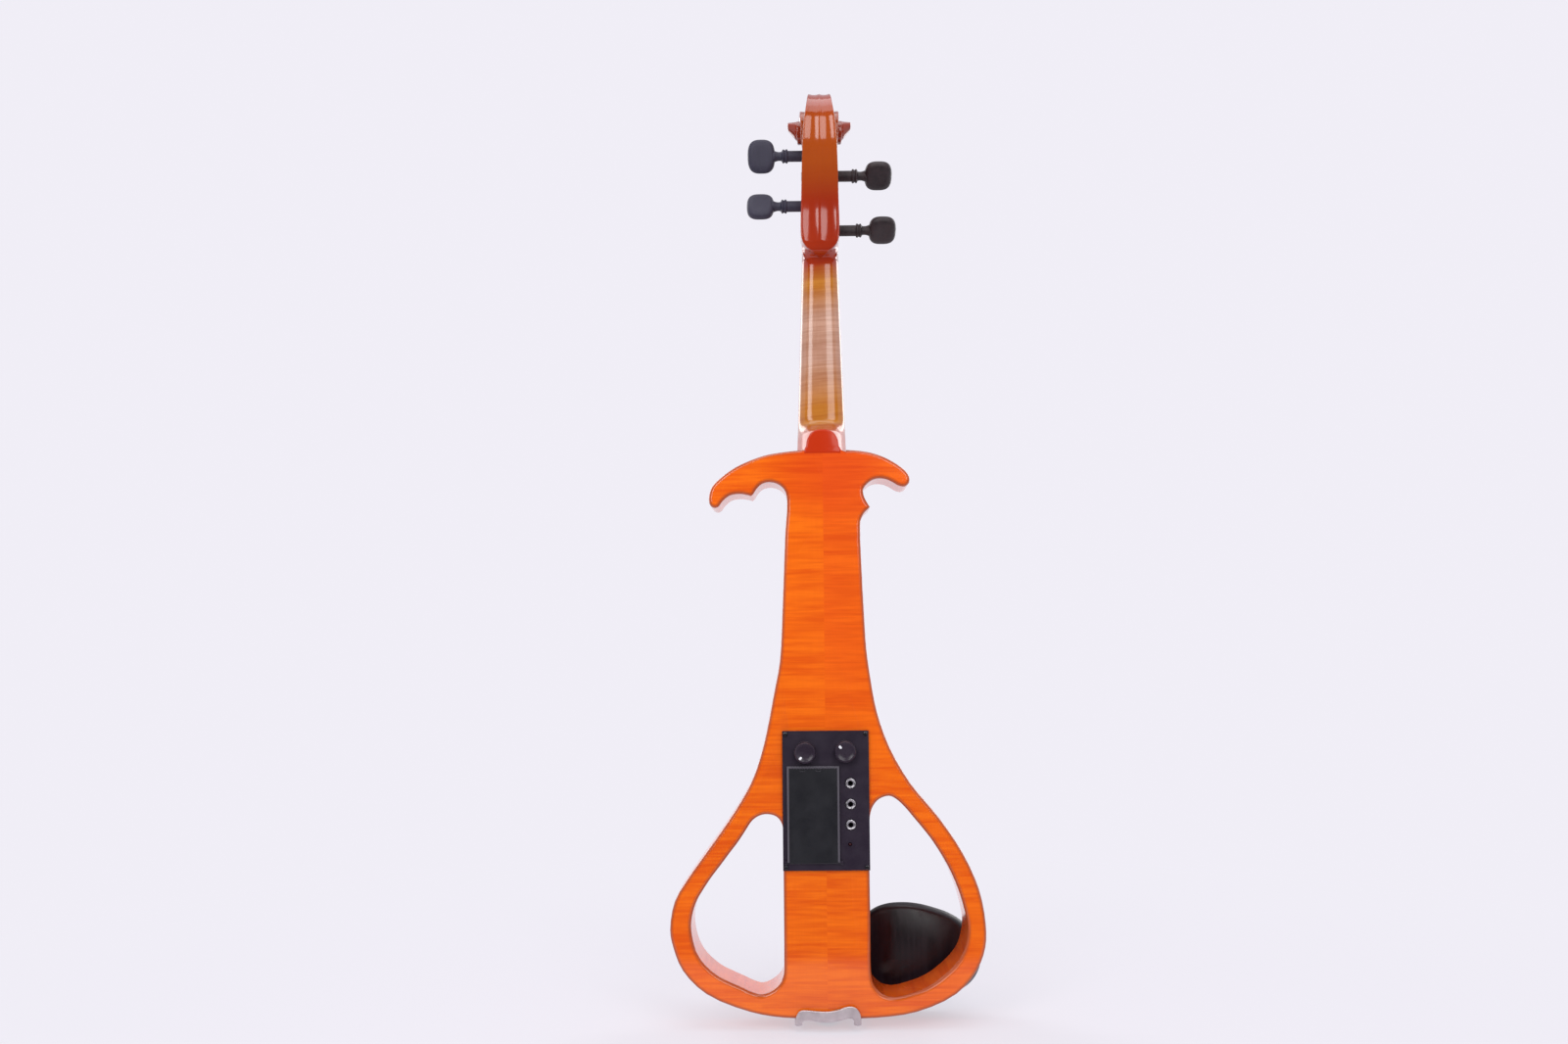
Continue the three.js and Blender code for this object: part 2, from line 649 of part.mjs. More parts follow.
// Where a string leaves the nut and meets its peg, beside the winding and clear of it
const windGap = 0.5;
function touchPoint(peg) {
  const centre = pegPlace(peg);
  const reach = pegRadius + fitGap + peg.diameter / 2;
  const wound = (peg.diameter + windGap) * (peg.turns + 1);
  const roomy = troughHalf - troughNarrowing - touchInset - peg.diameter / 2;
  const x = peg.side * Math.min(wound - peg.diameter, roomy);
  const from = V2(nutOver(peg).y - centre.y, nutPlace + nutThickness - centre.z);
  const turn = Math.atan2(from.y, from.x) + Math.acos(reach / from.length());
  return { x, turn, point: V3(x, centre.y + reach * Math.cos(turn), centre.z + reach * Math.sin(turn)) };
}

function nutOver(peg) {
  const x = spreadPlace(peg.key, nutSpread);
  const nutTop = nutHeight + nutLip - crownDrop(Math.abs(x), boardRadius);
  return V3(x, nutTop + fitGap + peg.diameter / 2, nutPlace);
}

// Winding on a peg: one unbroken helix about the peg's axis with short straight ends
function windingPath(peg) {
  const centre = pegPlace(peg);
  const { x, turn } = touchPoint(peg);
  const radius = pegRadius + fitGap + peg.diameter / 2;
  const pitch = peg.diameter + windGap;
  const steps = Math.round(peg.turns * stepsPerTurn);
  const at = (step) => {
    const angle = turn + (2 * Math.PI * step) / stepsPerTurn;
    const along = x - peg.side * pitch * (1 + step / stepsPerTurn);
    return V3(along, centre.y + radius * Math.cos(angle), centre.z + radius * Math.sin(angle));
  };
  const helix = Array.from({ length: steps + 1 }, (_, i) => at(i));
  const ahead = helix[steps].clone().sub(helix[steps - 1]).normalize();
  const behind = helix[0].clone().sub(helix[1]).normalize();
  return [
    helix[0].clone().addScaledVector(behind, peg.diameter), ...helix,
    helix[steps].clone().addScaledVector(ahead, peg.diameter),
  ];
}

// Least clear distance of a wound tube to itself, over points at least half a turn apart
function leastGap(path, diameter) {
  let least = Infinity;
  for (let i = 0; i < path.length; i += 1) {
    for (let j = i + stepsPerTurn / 2; j < path.length; j += 1) {
      least = Math.min(least, path[i].distanceTo(path[j]) - diameter);
    }
  }
  return least;
}

for (const peg of pegs) {
  const at = pegPlace(peg);
  const turnedPeg = join(pegShank(peg), pegHead());
  const mesh = piece(`peg_${peg.key}`, turnedPeg.rotateZ(-peg.side * quarterTurn), ebony);
  mesh.position.set(peg.side * peg.pulledOut, at.y, at.z);
  mesh.rotation.x = THREE.MathUtils.degToRad(peg.turnDegrees);
  const path = windingPath(peg);
  console.log(`winding_${peg.key}: least gap ${leastGap(path, peg.diameter).toFixed(2)} mm`);
  piece(`winding_${peg.key}`, tube(path, peg.diameter / 2, windSides), wire);
}

// Bridge: thin plate on two feet, drawn from the tail end as shares of half-width and height
const bridgeHalfWidth = 20.5;
const bridgeFoot = 4.2;
const bridgeCrest = 1.6;
const bridgeSideShares = [
  [0.43, 0], [1, 0], [1, 0.06], [0.86, 0.13], [0.74, 0.22], [0.7, 0.31], [0.8, 0.42], [0.9, 0.55],
  [0.93, 0.68], [0.92, 0.8],
];
const bridgeArchShares = [[0.43, 0], [0.4, 0.09], [0.28, 0.19], [0.14, 0.24], [0, 0.25]];
const bridgeBase = bodyThickness + fitGap * 2;
const bridgeRise = bridgeTop - bridgeBase;
const bridgePoint = (side) => ([out, up]) => V2(side * bridgeHalfWidth * out, bridgeBase + bridgeRise * up);
const bridgeCorner = bridgeSideShares.at(-1)[0] * bridgeHalfWidth;
const bridgeCrown = Array.from({ length: crownSteps + 1 }, (_, i) => {
  const x = lerp(bridgeCorner, -bridgeCorner, i / crownSteps);
  return V2(x, bridgeTop - crownDrop(Math.abs(x), bridgeRadius));
});
const bridgeOutline = joined(
  bridgeSideShares.map(bridgePoint(1)), bridgeCrown,
  bridgeSideShares.map(bridgePoint(-1)).reverse(), bridgeArchShares.map(bridgePoint(-1)),
  bridgeArchShares.map(bridgePoint(1)).reverse(),
);
const bridgeTaper = [
  V2(bridgeBase, bridgePlace - bridgeFoot / 2), V2(bridgeBase, bridgePlace + bridgeFoot / 2),
  V2(bridgeTop, bridgePlace + bridgeCrest / 2), V2(bridgeTop, bridgePlace - bridgeCrest / 2),
];
const kidneyOut = 9.6;
const kidneyRadius = 3.6;
const kidneyUpShare = 0.46;
const heartRadius = 3.2;
const heartUpShare = 0.55;
const throughBridge = (radius, x, up) => rodAlongZ(
  radius, bridgePlace - bridgeFoot, bridgePlace + bridgeFoot, x, bridgeBase + bridgeRise * up, lowSides,
);
piece('bridge', cut(
  overlap(
    slabAlongZ(bridgeOutline, bridgePlace - bridgeFoot / 2, bridgePlace + bridgeFoot / 2),
    slabAlongX(bridgeTaper, -bridgeHalfWidth, bridgeHalfWidth),
  ),
  throughBridge(kidneyRadius, kidneyOut, kidneyUpShare),
  throughBridge(kidneyRadius, -kidneyOut, kidneyUpShare),
  throughBridge(heartRadius, 0, heartUpShare),
), bridgeMaple);

// Pickup strip under the bridge's feet and its lead into the pocket
const boardForward = 13;
const boardThickness = 1.6;
const leadEndX = 9;
const leadBendShares = [[0.25, 0.35], [0.75, 0.6], [1, 0.85], [1, 1]];
piece('bridge_pickup', block(
  [-pickupHalfLength, bodyThickness - pickupThickness, bridgePlace - pickupWidth / 2],
  [pickupHalfLength, bodyThickness + fitGap, bridgePlace + pickupWidth / 2],
), nickel);
const leadTop = bodyThickness - pickupThickness - fitGap;
const leadEnd = boardForward + boardThickness + fitGap;
piece('pickup_lead', tube([
  V3(0, leadTop, bridgePlace), V3(0, pocketDepth - leadRadius, bridgePlace),
  ...leadBendShares.map(([out, down]) => (
    V3(leadEndX * out, lerp(pocketDepth, leadEnd, down), bridgePlace)
  )),
], leadRadius, wireSides), nylon);

// Saddle at the bottom edge and the low end button
piece('saddle', block(
  [-saddleHalfWidth, bodyThickness - saddleSeat, fitGap],
  [saddleHalfWidth, bodyThickness + saddleRise, saddleDepth],
), ebony);
const gutRadius = 0.9;
const buttonNeckRadius = 4.4;
const buttonNeckLength = 2.1;
const buttonRadius = 7;
const buttonFlange = 2;
const buttonTop = -fitGap;
const buttonLow = buttonTop - buttonNeckLength;
const buttonFaceShare = 0.8;
piece('end_button', turned([
  [0, buttonLow - buttonFlange], [buttonRadius * buttonFaceShare, buttonLow - buttonFlange],
  [buttonRadius, buttonLow - buttonFlange / 2], [buttonRadius, buttonLow], [buttonNeckRadius, buttonLow],
  [buttonNeckRadius, buttonTop], [buttonShankRadius, buttonTop], [buttonShankRadius, buttonShankLength],
  [0, buttonShankLength],
], fineSides).rotateX(quarterTurn).translate(0, buttonForward, 0), ebony);

// Tailpiece with built-in fine tuners, in a group tilted from the fret down to the saddle
const tailFretPlace = bridgePlace * tailFretShare;
const tailFretHeight = 18;
const tailEndGap = 4.8;
const tailLength = tailFretPlace - saddleDepth - tailEndGap;
const tailTilt = THREE.MathUtils.degToRad(5.6);
const tailNose = 5;
const tailThickness = 11;
const tailEndThickness = 7;
const tailTaperShare = 0.42;
const tailTopPlate = 3;
const tailWall = 2.4;
const tailFretHalf = 21.5;
const tailEndHalf = 9;
const tailRidge = 2;
const tailRidgeWidth = 2.4;
const tailRidgeRadius = 60;
const tailEndShare = 0.43;
const tailSideShares = [
  [1, 0], [1, 0.12], [0.97, 0.28], [0.86, 0.45], [0.66, 0.62], [0.5, 0.82], [tailEndShare, 0.95], [0.3, 1],
];
const tailpiece = new THREE.Group();
tailpiece.position.set(0, bodyThickness + tailFretHeight, tailFretPlace);
tailpiece.rotation.x = -tailTilt;
violin.add(tailpiece);
tailpiece.updateMatrix();

const tailHalf = (wide) => (
  lerp(tailEndHalf, tailFretHalf, (wide - tailEndShare) / (1 - tailEndShare))
);
const tailSide = (side, inset) => tailSideShares.map(([wide, down]) => (
  V2(side * (tailHalf(wide) - inset), lerp(tailNose - inset, -tailLength + inset, down))
));
const tailOutline = (inset) => (
  joined(smooth(tailSide(1, inset), 2), smooth(tailSide(-1, inset), 2).reverse())
);

// Tuner places inside the tailpiece group
const axleDepth = 6.4;
const axlePlace = -15;
const axleRadius = 1.1;
const leverWidth = 4.2;
const leverArm = 18;
const leverThickness = 2;
const leverDrop = 2.4;
const hookRise = 2.2;
const hookThickness = 1.6;
const hookForward = 2.4;
const stringSlot = 1.7;
const slotHalfWidth = leverWidth / 2 + fitGap;
const tunerShaftRadius = 1.1;
const tunerKnobRadius = 3.7;
const tunerKnobHeight = 4.6;
const tunerKnobLift = 2;
const tunerGrip = 2.6;
const tunerPlace = axlePlace - leverArm;
const ballRadius = 1.5;
const ballSinkShare = 0.7;

const ridge = (() => {
  const ring = (z) => crownedRing(tailFretHalf - tailWall, -tailTopPlate, tailRidge, tailRidgeRadius, z);
  return loft([-tailRidgeWidth / 2, tailRidgeWidth / 2].map(ring));
})();
const tailHoleX = 4.6;
const tailHoleDepth = 4.8;
const tailProfile = [
  V2(0, tailNose), V2(-tailThickness, tailNose), V2(-tailThickness, -tailLength * tailTaperShare),
  V2(-tailEndThickness, -tailLength), V2(0, -tailLength),
];
piece('tailpiece', cut(
  join(
    overlap(
      slabAlongY(tailOutline(0), -tailThickness, 0),
      slabAlongX(tailProfile, -tailFretHalf, tailFretHalf),
    ),
    ridge,
  ),
  slabAlongY(tailOutline(tailWall), -tailThickness - overrun, -tailTopPlate),
  rodAlongX(
    axleRadius + fitGap, -tailFretHalf - overrun, tailFretHalf + overrun, -axleDepth, axlePlace, lowSides,
  ),
  ...stringOrder.flatMap((key) => {
    const x = spreadPlace(key, tailSpread);
    return [
      block(
        [x - slotHalfWidth, -tailTopPlate - overrun, axlePlace - ballRadius * 2],
        [x + slotHalfWidth, overrun, axlePlace + hookForward * 3],
      ),
      rodAlongY(tunerShaftRadius + fitGap, -tailTopPlate - overrun, overrun, x, tunerPlace, lowSides),
    ];
  }),
  ...[1, -1].map((side) => {
    const [low, high] = [-tailLength - overrun, -tailLength + tailWall + overrun];
    return rodAlongZ(gutRadius + fitGap, low, high, side * tailHoleX, -tailHoleDepth, lowSides);
  }),
), ebony, tailpiece);

// The axle ends flush inside the tailpiece's side walls
piece('tuner_axle', rodAlongX(
  axleRadius, -tailFretHalf + tailWall / 2, tailFretHalf - tailWall / 2, -axleDepth, axlePlace, lowSides,
), nickel, tailpiece);

const leverTop = -axleDepth + leverThickness;
const leverLow = -axleDepth - leverThickness;
const armTop = leverTop - leverDrop;
const leverSide = [
  V2(leverLow, axlePlace + leverThickness), V2(leverTop, axlePlace + hookForward + hookThickness),
  V2(hookRise, axlePlace + hookForward + hookThickness), V2(hookRise, axlePlace + hookForward),
  V2(leverTop, axlePlace + hookForward / 2), V2(leverTop, axlePlace - leverThickness),
  V2(armTop, tunerPlace - leverThickness), V2(armTop - leverThickness, tunerPlace - leverThickness),
  V2(leverLow, axlePlace - leverThickness),
];
const shaftTip = armTop + fitGap * 2;
for (const key of stringOrder) {
  const x = spreadPlace(key, tailSpread);
  const wide = leverWidth / 2;
  piece(`tuner_lever_${key}`, cut(
    slabAlongX(leverSide, x - wide, x + wide),
    rodAlongX(axleRadius + fitGap, x - leverWidth, x + leverWidth, -axleDepth, axlePlace, lowSides),
    block(
      [x - stringSlot / 2, leverTop + fitGap, axlePlace - overrun],
      [x + stringSlot / 2, overrun, axlePlace + overrun],
    ),
  ), nickel, tailpiece);
  piece(`tuner_shaft_${key}`, rodAlongY(
    tunerShaftRadius, shaftTip, tunerKnobLift + tunerGrip - fitGap, x, tunerPlace, lowSides,
  ), nickel, tailpiece);
  piece(`tuner_knob_${key}`, cut(
    rodAlongY(tunerKnobRadius, tunerKnobLift, tunerKnobLift + tunerKnobHeight, x, tunerPlace, midSides),
    rodAlongY(
      tunerShaftRadius + fitGap, tunerKnobLift - overrun, tunerKnobLift + tunerGrip,
      x, tunerPlace, lowSides,
    ),
  ), ebony, tailpiece);
}

// Strings from the ball in the tuner's hook over the ridge, the bridge and the nut to the peg
const inViolin = (x, y, z) => V3(x, y, z).applyMatrix4(tailpiece.matrix);
const ballPlace = axlePlace + hookForward - ballRadius - fitGap;
const ballHeight = hookRise - ballRadius * ballSinkShare;
for (const peg of pegs) {
  const radius = peg.diameter / 2;
  const x = spreadPlace(peg.key, tailSpread);
  const over = tailRidge - crownDrop(Math.abs(x), tailRidgeRadius) + fitGap + radius;
  const bridgeX = spreadPlace(peg.key, bridgeSpread);
  const bridgeOver = bridgeTop - crownDrop(Math.abs(bridgeX), bridgeRadius) + fitGap + radius;
  const nutFront = nutOver(peg);
  const path = [
    inViolin(x, ballHeight, ballPlace),
    inViolin(x, over, 0),
    V3(bridgeX, bridgeOver, bridgePlace),
    nutFront,
    nutFront.clone().setZ(nutPlace + nutThickness),
    touchPoint(peg).point,
  ];
  const seat = path[0];
  const ball = rodAlongX(ballRadius, seat.x - ballRadius, seat.x + ballRadius, seat.y, seat.z, lowSides);
  piece(`string_${peg.key}`, join(tube(path, radius, wireSides), ball), wire);
}

// Tailgut: out of the tailpiece's end, over the saddle and round the end button
const gutLoop = buttonNeckRadius + fitGap + gutRadius;
const gutLow = -fitGap - gutRadius;
const gutClear = gutRadius + fitGap;
const saddleTop = bodyThickness + saddleRise;
const gutLoopSteps = 10;
const gutCornerShares = [0, 0.25, 0.5];
const gutDropRadii = 3;
const gutStart = inViolin(0, -tailHoleDepth, -tailLength + tailWall * 2);
const gutExit = inViolin(0, -tailHoleDepth, -tailLength - gutRadius);
const gutSide = (side) => [
  gutStart.clone().setX(side * tailHoleX), gutExit.clone().setX(side * tailHoleX),
  V3(side * tailHoleX, saddleTop + gutClear, saddleDepth),
  ...gutCornerShares.map((share) => V3(
    side * tailHoleX,
    saddleTop + gutClear * Math.cos(Math.PI * share),
    fitGap - gutClear * Math.sin(Math.PI * share),
  )),
  V3(side * tailHoleX, saddleTop - gutRadius * gutDropRadii, gutLow),
];
const gutArc = Array.from({ length: gutLoopSteps + 1 }, (_, i) => {
  const turn = (Math.PI * i) / gutLoopSteps;
  return V3(gutLoop * Math.cos(turn), buttonForward - gutLoop * Math.sin(turn), gutLow);
});
piece('tailgut', tube([...gutSide(1), ...gutArc, ...gutSide(-1).reverse()], gutRadius, wireSides), nylon);

// Chinrest: cup over the right-hand opening and an arm over the tailpiece's end, on two feet
const cupReach = 102;
const cupTop = 62.5;
const cupLow = -6.5;
const cupUnder = 47.5;
const cupRim = 56.5;
const cupSkirt = 44.6;
const dishDepth = 6;
const dishCentreShares = [0.6, 0.48];
const dishHalfShares = [0.4, 0.42];
const skirtScaleShare = 0.74;
const footInner = 12.2;
const footOuter = 26;
const footLow = 2.6;
const footHigh = 11;
const corkThickness = 1.5;
const armUnder = 51.2;
const chinrestShares = [
  [-0.25, 0.02], [-0.265, 0.2], [-0.22, 0.38], [-0.08, 0.5], [0.08, 0.62], [0.19, 0.78], [0.29, 0.935],
  [0.39, 0.99], [0.5, 1], [0.6, 0.985], [0.7, 0.945], [0.79, 0.9], [0.87, 0.83], [0.94, 0.73], [0.985, 0.6],
  [1, 0.44], [0.955, 0.28], [0.865, 0.17], [0.7, 0.09], [0.49, 0.04], [0.26, 0.01], [0, 0], [-0.2, 0],
];
const chinPoint = ([out, up]) => V2(cupReach * out, lerp(cupLow, cupTop, up));
const cupCentre = V2(cupReach * dishCentreShares[0], lerp(cupLow, cupTop, dishCentreShares[1]));
const cupOutline = smoothLoop(chinrestShares.map(chinPoint), 2);
const cupSkirtOutline = Array.from({ length: fineSides }, (_, i) => {
  const turn = (2 * Math.PI * i) / fineSides;
  return V2(
    cupCentre.x + cupReach * dishHalfShares[0] * skirtScaleShare * Math.cos(turn),
    cupCentre.y + (cupTop - cupLow) * dishHalfShares[1] * skirtScaleShare * Math.sin(turn),
  );
});
const dish = new THREE.SphereGeometry(1, fineSides, lowSides).scale(
  cupReach * dishHalfShares[0], dishDepth, (cupTop - cupLow) * dishHalfShares[1],
).translate(cupCentre.x, cupRim, cupCentre.y);
const corkFace = bodyThickness + fitGap;
const footFace = corkFace + corkThickness + fitGap;
const chinFoot = (side) => block(
  [Math.min(side * footInner, side * footOuter), footFace, footLow],
  [Math.max(side * footInner, side * footOuter), armUnder + overrun / 2, footHigh],
);
const bracketPlate = 1.5;
const bracketHalfWidth = 22;
const bracketHigh = 1.8;
const bracketFace = armUnder - fitGap - bracketPlate;
const armTunnelHalf = 27.5;
const armTunnelHigh = 45;
piece('chinrest', cut(
  join(
    slabAlongY(cupOutline, cupUnder, cupRim),
    slabAlongY(cupSkirtOutline, cupSkirt, cupUnder + overrun / 2),
    chinFoot(1), chinFoot(-1),
  ),
  dish,
  block([-footInner, cupUnder - overrun, cupLow - overrun], [footInner, armUnder, armTunnelHigh]),
  block([-armTunnelHalf, cupUnder - overrun, cupLow - overrun], [armTunnelHalf, armUnder, footLow]),
), ebony);
const corkNotch = saddleHalfWidth + fitGap;
piece('chinrest_cork', cut(
  block([-footOuter, corkFace, footLow], [footOuter, corkFace + corkThickness, footHigh]),
  block(
    [-corkNotch, corkFace - overrun, footLow - overrun],
    [corkNotch, corkFace + overrun, saddleDepth + fitGap * 2],
  ),
), cork);

// Chinrest clamp: fixed bracket with two studs, two turning barrels, and the foot that grips the back
const studX = 18.3;
const studPlace = -2.6;
const studRadius = 1.2;
const barrelRadius = 2.2;
const barrelLow = 9;
const barrelHigh = 30;
const studMeet = 20;
const studEndGap = 1;
const studRoot = bracketFace + bracketPlate / 2;
piece('clamp_bracket', join(
  block(
    [-bracketHalfWidth, bracketFace, cupLow],
    [bracketHalfWidth, bracketFace + bracketPlate, bracketHigh],
  ),
  ...[1, -1].map((side) => (
    rodAlongY(studRadius, studMeet + studEndGap, studRoot, side * studX, studPlace, lowSides)
  )),
), nickel);
for (const [name, side] of [['clamp_barrel_left', -1], ['clamp_barrel_right', 1]]) {
  piece(name, cut(
    rodAlongY(barrelRadius, barrelLow, barrelHigh, side * studX, studPlace, midSides),
    rodAlongY(
      studRadius + fitGap, barrelLow - overrun, barrelHigh + overrun, side * studX, studPlace, lowSides,
    ),
  ), nickel);
}
const padThickness = 1.5;
const gripThickness = 1.8;
const gripFace = -fitGap - padThickness - fitGap;
const gripBack = gripFace - gripThickness;
const gripReach = 20.6;
const gripHeight = 8.8;
const legWidth = 4.6;
const legThickness = 2;
const legRiseShare = 0.2;
const gripShares = [
  [-1, -0.2], [-0.97, 0.3], [-0.86, 0.72], [-0.62, 0.74], [-0.3, 0.64], [0, 0.62], [0.3, 0.72], [0.5, 0.92],
  [0.68, 1], [0.86, 0.88], [0.98, 0.45], [1, -0.2], [0.79, -0.2], [0.74, 0.2], [0.5, 0.1], [0.25, -0.06],
  [0, -0.14], [-0.3, -0.08], [-0.6, 0.04], [-0.76, 0], [-0.79, -0.2],
];
const gripOutline = smoothLoop(gripShares.map(([out, up]) => V2(gripReach * out, gripHeight * up)), 2);
const padShares = [[-0.7, 0.14], [-0.62, 0.66], [0, 0.56], [0.6, 0.9], [0.7, 0.3], [0.3, 0.1]];
piece('clamp_foot', join(
  slabAlongY(gripOutline, gripBack, gripFace),
  ...[1, -1].flatMap((side) => {
    const x = side * studX;
    const low = studPlace - legThickness / 2;
    return [
      block([x - legWidth / 2, gripBack, low], [x + legWidth / 2, gripFace, gripHeight * legRiseShare]),
      block([x - legWidth / 2, gripBack, low], [x + legWidth / 2, legWidth, low + legThickness]),
      rodAlongY(studRadius, 0, studMeet - studEndGap, x, studPlace, lowSides),
    ];
  }),
), nickel);
piece('clamp_cork', slabAlongY(
  padShares.map(([out, up]) => V2(gripReach * out, gripHeight * up)), -fitGap - padThickness, -fitGap,
), cork);

// Preamplifier panel: face plate with a battery box behind it and two hinge ears for the door
const doorInset = 2.75;
const doorWidth = 32.8;
const doorRise = 4.2;
const doorHeight = 60.4;
const doorThickness = 1.2;
const doorPin = 0.6;
const earWidth = 1.7;
const earHalfHeight = 1.25;
const openInset = 2.5;
const boxWall = 1.2;
const batteryWidth = 26.5;
const batteryHeight = 48.5;
const batteryThickness = 17.5;
const doorLeft = doorInset - panelHalfWidth;
const doorRight = doorLeft + doorWidth;
const doorLow = panelLow + doorRise;
const doorTop = doorLow + doorHeight;
const doorFace = panelFace - fitGap;
const hingeForward = doorFace - doorThickness / 2;
const hingePlace = doorLow + doorThickness / 2;
const openLeft = doorLeft + openInset;
const openRight = doorRight - openInset;
const openLow = doorLow + openInset;
const openTop = doorTop - openInset;
const batteryFace = panelFace + fitGap * 2;
const boxFloor = batteryFace + batteryThickness + fitGap;

// Controls and sockets on the panel
const volumeX = -12.9;
const volumeRise = 73.1;
const toneX = 12.3;
const toneRise = 73.6;
const knobs = [
  { name: 'volume', x: volumeX, z: panelLow + volumeRise, pointerDegrees: 228 },
  { name: 'tone', x: toneX, z: panelLow + toneRise, pointerDegrees: 136 },
];
const bushRadius = 3.4;
const bushBore = 2.4;
const bushPast = 0.9;
const potHalf = 5.4;
const knobRadius = 7;
const knobTopRadius = 6.3;
const knobHeight = 5.6;
const knobShaftRadius = 2.1;
const knobShaftLength = 5;
const pointerWidth = 1;
const pointerDepth = 0.5;
const pointerShares = [0.25, 0.8];
const jackX = 15.4;
const outputRise = 28.1;
const auxRise = 40.9;
const headphoneRise = 53.8;
const jackPlaces = [
  ['headphone_jack', panelLow + headphoneRise], ['aux_jack', panelLow + auxRise],
  ['output_jack', panelLow + outputRise],
];
const jackCollar = 3.2;
const jackBore = 1.75;
const jackPast = 0.9;
const jackHalf = 4.4;
const jackBoreDepth = 13;
const lampX = 14.8;
const lampRise = 16;
const lampPlace = panelLow + lampRise;
const lampRadius = 1;
const lampFlange = 1.6;
const lampFaceShare = 0.7;
const earBlock = (x) => block(
  [x, doorFace - doorThickness - fitGap, hingePlace - earHalfHeight],
  [x + earWidth, panelFace + panelThickness / 2, hingePlace + earHalfHeight],
);
const leadNotch = 4;
piece('preamp_panel', cut(
  join(
    block([-panelHalfWidth, panelFace, panelLow], [panelHalfWidth, -fitGap, panelHigh]),
    block(
      [openLeft - boxWall, panelFace, openLow - boxWall],
      [openRight + boxWall, boxFloor + boxWall, openTop + boxWall],
    ),
    earBlock(doorLeft - fitGap - earWidth),
    earBlock(doorRight + fitGap),
  ),
  block([openLeft, panelFace - overrun, openLow], [openRight, boxFloor, openTop]),
  block(
    [openRight - boxWall, boxFloor - leadNotch, openTop - leadNotch],
    [openRight + boxWall * 2, boxFloor, openTop],
  ),
  rodAlongX(
    doorPin + fitGap, doorLeft - earWidth - overrun, doorRight + earWidth + overrun,
    hingeForward, hingePlace, wireSides,
  ),
  ...knobs.map(({ x, z }) => rodAlongY(bushRadius + fitGap, panelFace - overrun, overrun, x, z)),
  ...jackPlaces.map(([, z]) => rodAlongY(jackCollar + fitGap, panelFace - overrun, overrun, jackX, z)),
  rodAlongY(lampRadius + fitGap, panelFace - overrun, overrun, lampX, lampPlace, lowSides),
  ...screwPlaces.map(([, x, z]) => (
    rodAlongY(screwRadius + fitGap, panelFace - overrun, overrun, x, z, lowSides)
  )),
), blackPlastic);

const screwHeadRadius = 1.4;
const screwHeadHeight = 0.8;
const screwFaceShare = 0.8;
for (const [name, x, z] of screwPlaces) {
  const headFace = panelFace - fitGap - screwHeadHeight;
  piece(name, turned([
    [0, 0], [screwHeadRadius * screwFaceShare, 0], [screwHeadRadius, screwHeadHeight / 2],
    [screwHeadRadius, screwHeadHeight], [screwRadius, screwHeadHeight],
    [screwRadius, screwHeadHeight + screwLength - fitGap], [0, screwHeadHeight + screwLength],
  ], lowSides).translate(x, headFace, z), blackPlastic);
}

// Battery door with moulded pins at its lower edge and two finger dents at its top
const dentWidth = 3;
const dentHeight = 1.2;
const dentDepth = 0.5;
const dentDrop = 2;
const dentShares = [0.3, 0.6];
const doorBack = doorFace - doorThickness;
piece('battery_door', cut(
  join(
    block([doorLeft, doorBack, hingePlace], [doorRight, doorFace, doorTop]),
    rodAlongX(doorThickness / 2, doorLeft, doorRight, hingeForward, hingePlace, lowSides),
    rodAlongX(doorPin, doorLeft - earWidth, doorRight + earWidth, hingeForward, hingePlace, wireSides),
  ),
  ...dentShares.map((share) => {
    const x = lerp(doorLeft, doorRight, share);
    return block(
      [x - dentWidth / 2, doorBack - overrun, doorTop - dentDrop - dentHeight],
      [x + dentWidth / 2, doorBack + dentDepth, doorTop - dentDrop],
    );
  }),
), blackPlastic);

// Battery with its two terminals, and the clip on them
const batteryLow = openLow + fitGap;
const batteryMid = (openLeft + openRight) / 2;
const batteryTop = batteryLow + batteryHeight;
const terminalRadius = 3.2;
const terminalRise = 1.8;
const terminalOut = 6.3;
const clipThickness = 2.2;
const clipWidth = 25;
const clipDepth = 12;
const batteryMiddle = batteryFace + batteryThickness / 2;
const terminal = (side) => rodAlongZ(
  terminalRadius, batteryTop - terminalRise, batteryTop + terminalRise,
  batteryMid + side * terminalOut, batteryMiddle, lowSides,
);
piece('battery', join(
  block(
    [batteryMid - batteryWidth / 2, batteryFace, batteryLow],
    [batteryMid + batteryWidth / 2, batteryFace + batteryThickness, batteryTop],
  ),
  terminal(1), terminal(-1),
), batteryShell);
const clipLow = batteryTop + terminalRise + fitGap;
piece('battery_clip', block(
  [batteryMid - clipWidth / 2, batteryMiddle - clipDepth / 2, clipLow],
  [batteryMid + clipWidth / 2, batteryMiddle + clipDepth / 2, clipLow + clipThickness],
), rubberedPlastic);

// Circuit board in an L around the battery box
const boardInset = 0.6;
const boardLeft = openLeft - boxWall;
const boardRight = pocketHalfWidth - boardInset;
const boardTop = pocketHigh - boardInset;
const boardStep = openTop + boxWall + boardInset;
const boardInner = openRight + boxWall + boardInset;
const boardFoot = openLow + boardInset;
piece('circuit_board', slabAlongY([
  V2(boardInner, boardFoot), V2(boardRight, boardFoot), V2(boardRight, boardTop), V2(boardLeft, boardTop),
  V2(boardLeft, boardStep), V2(boardInner, boardStep),
], boardForward, boardForward + boardThickness), boardGreen);

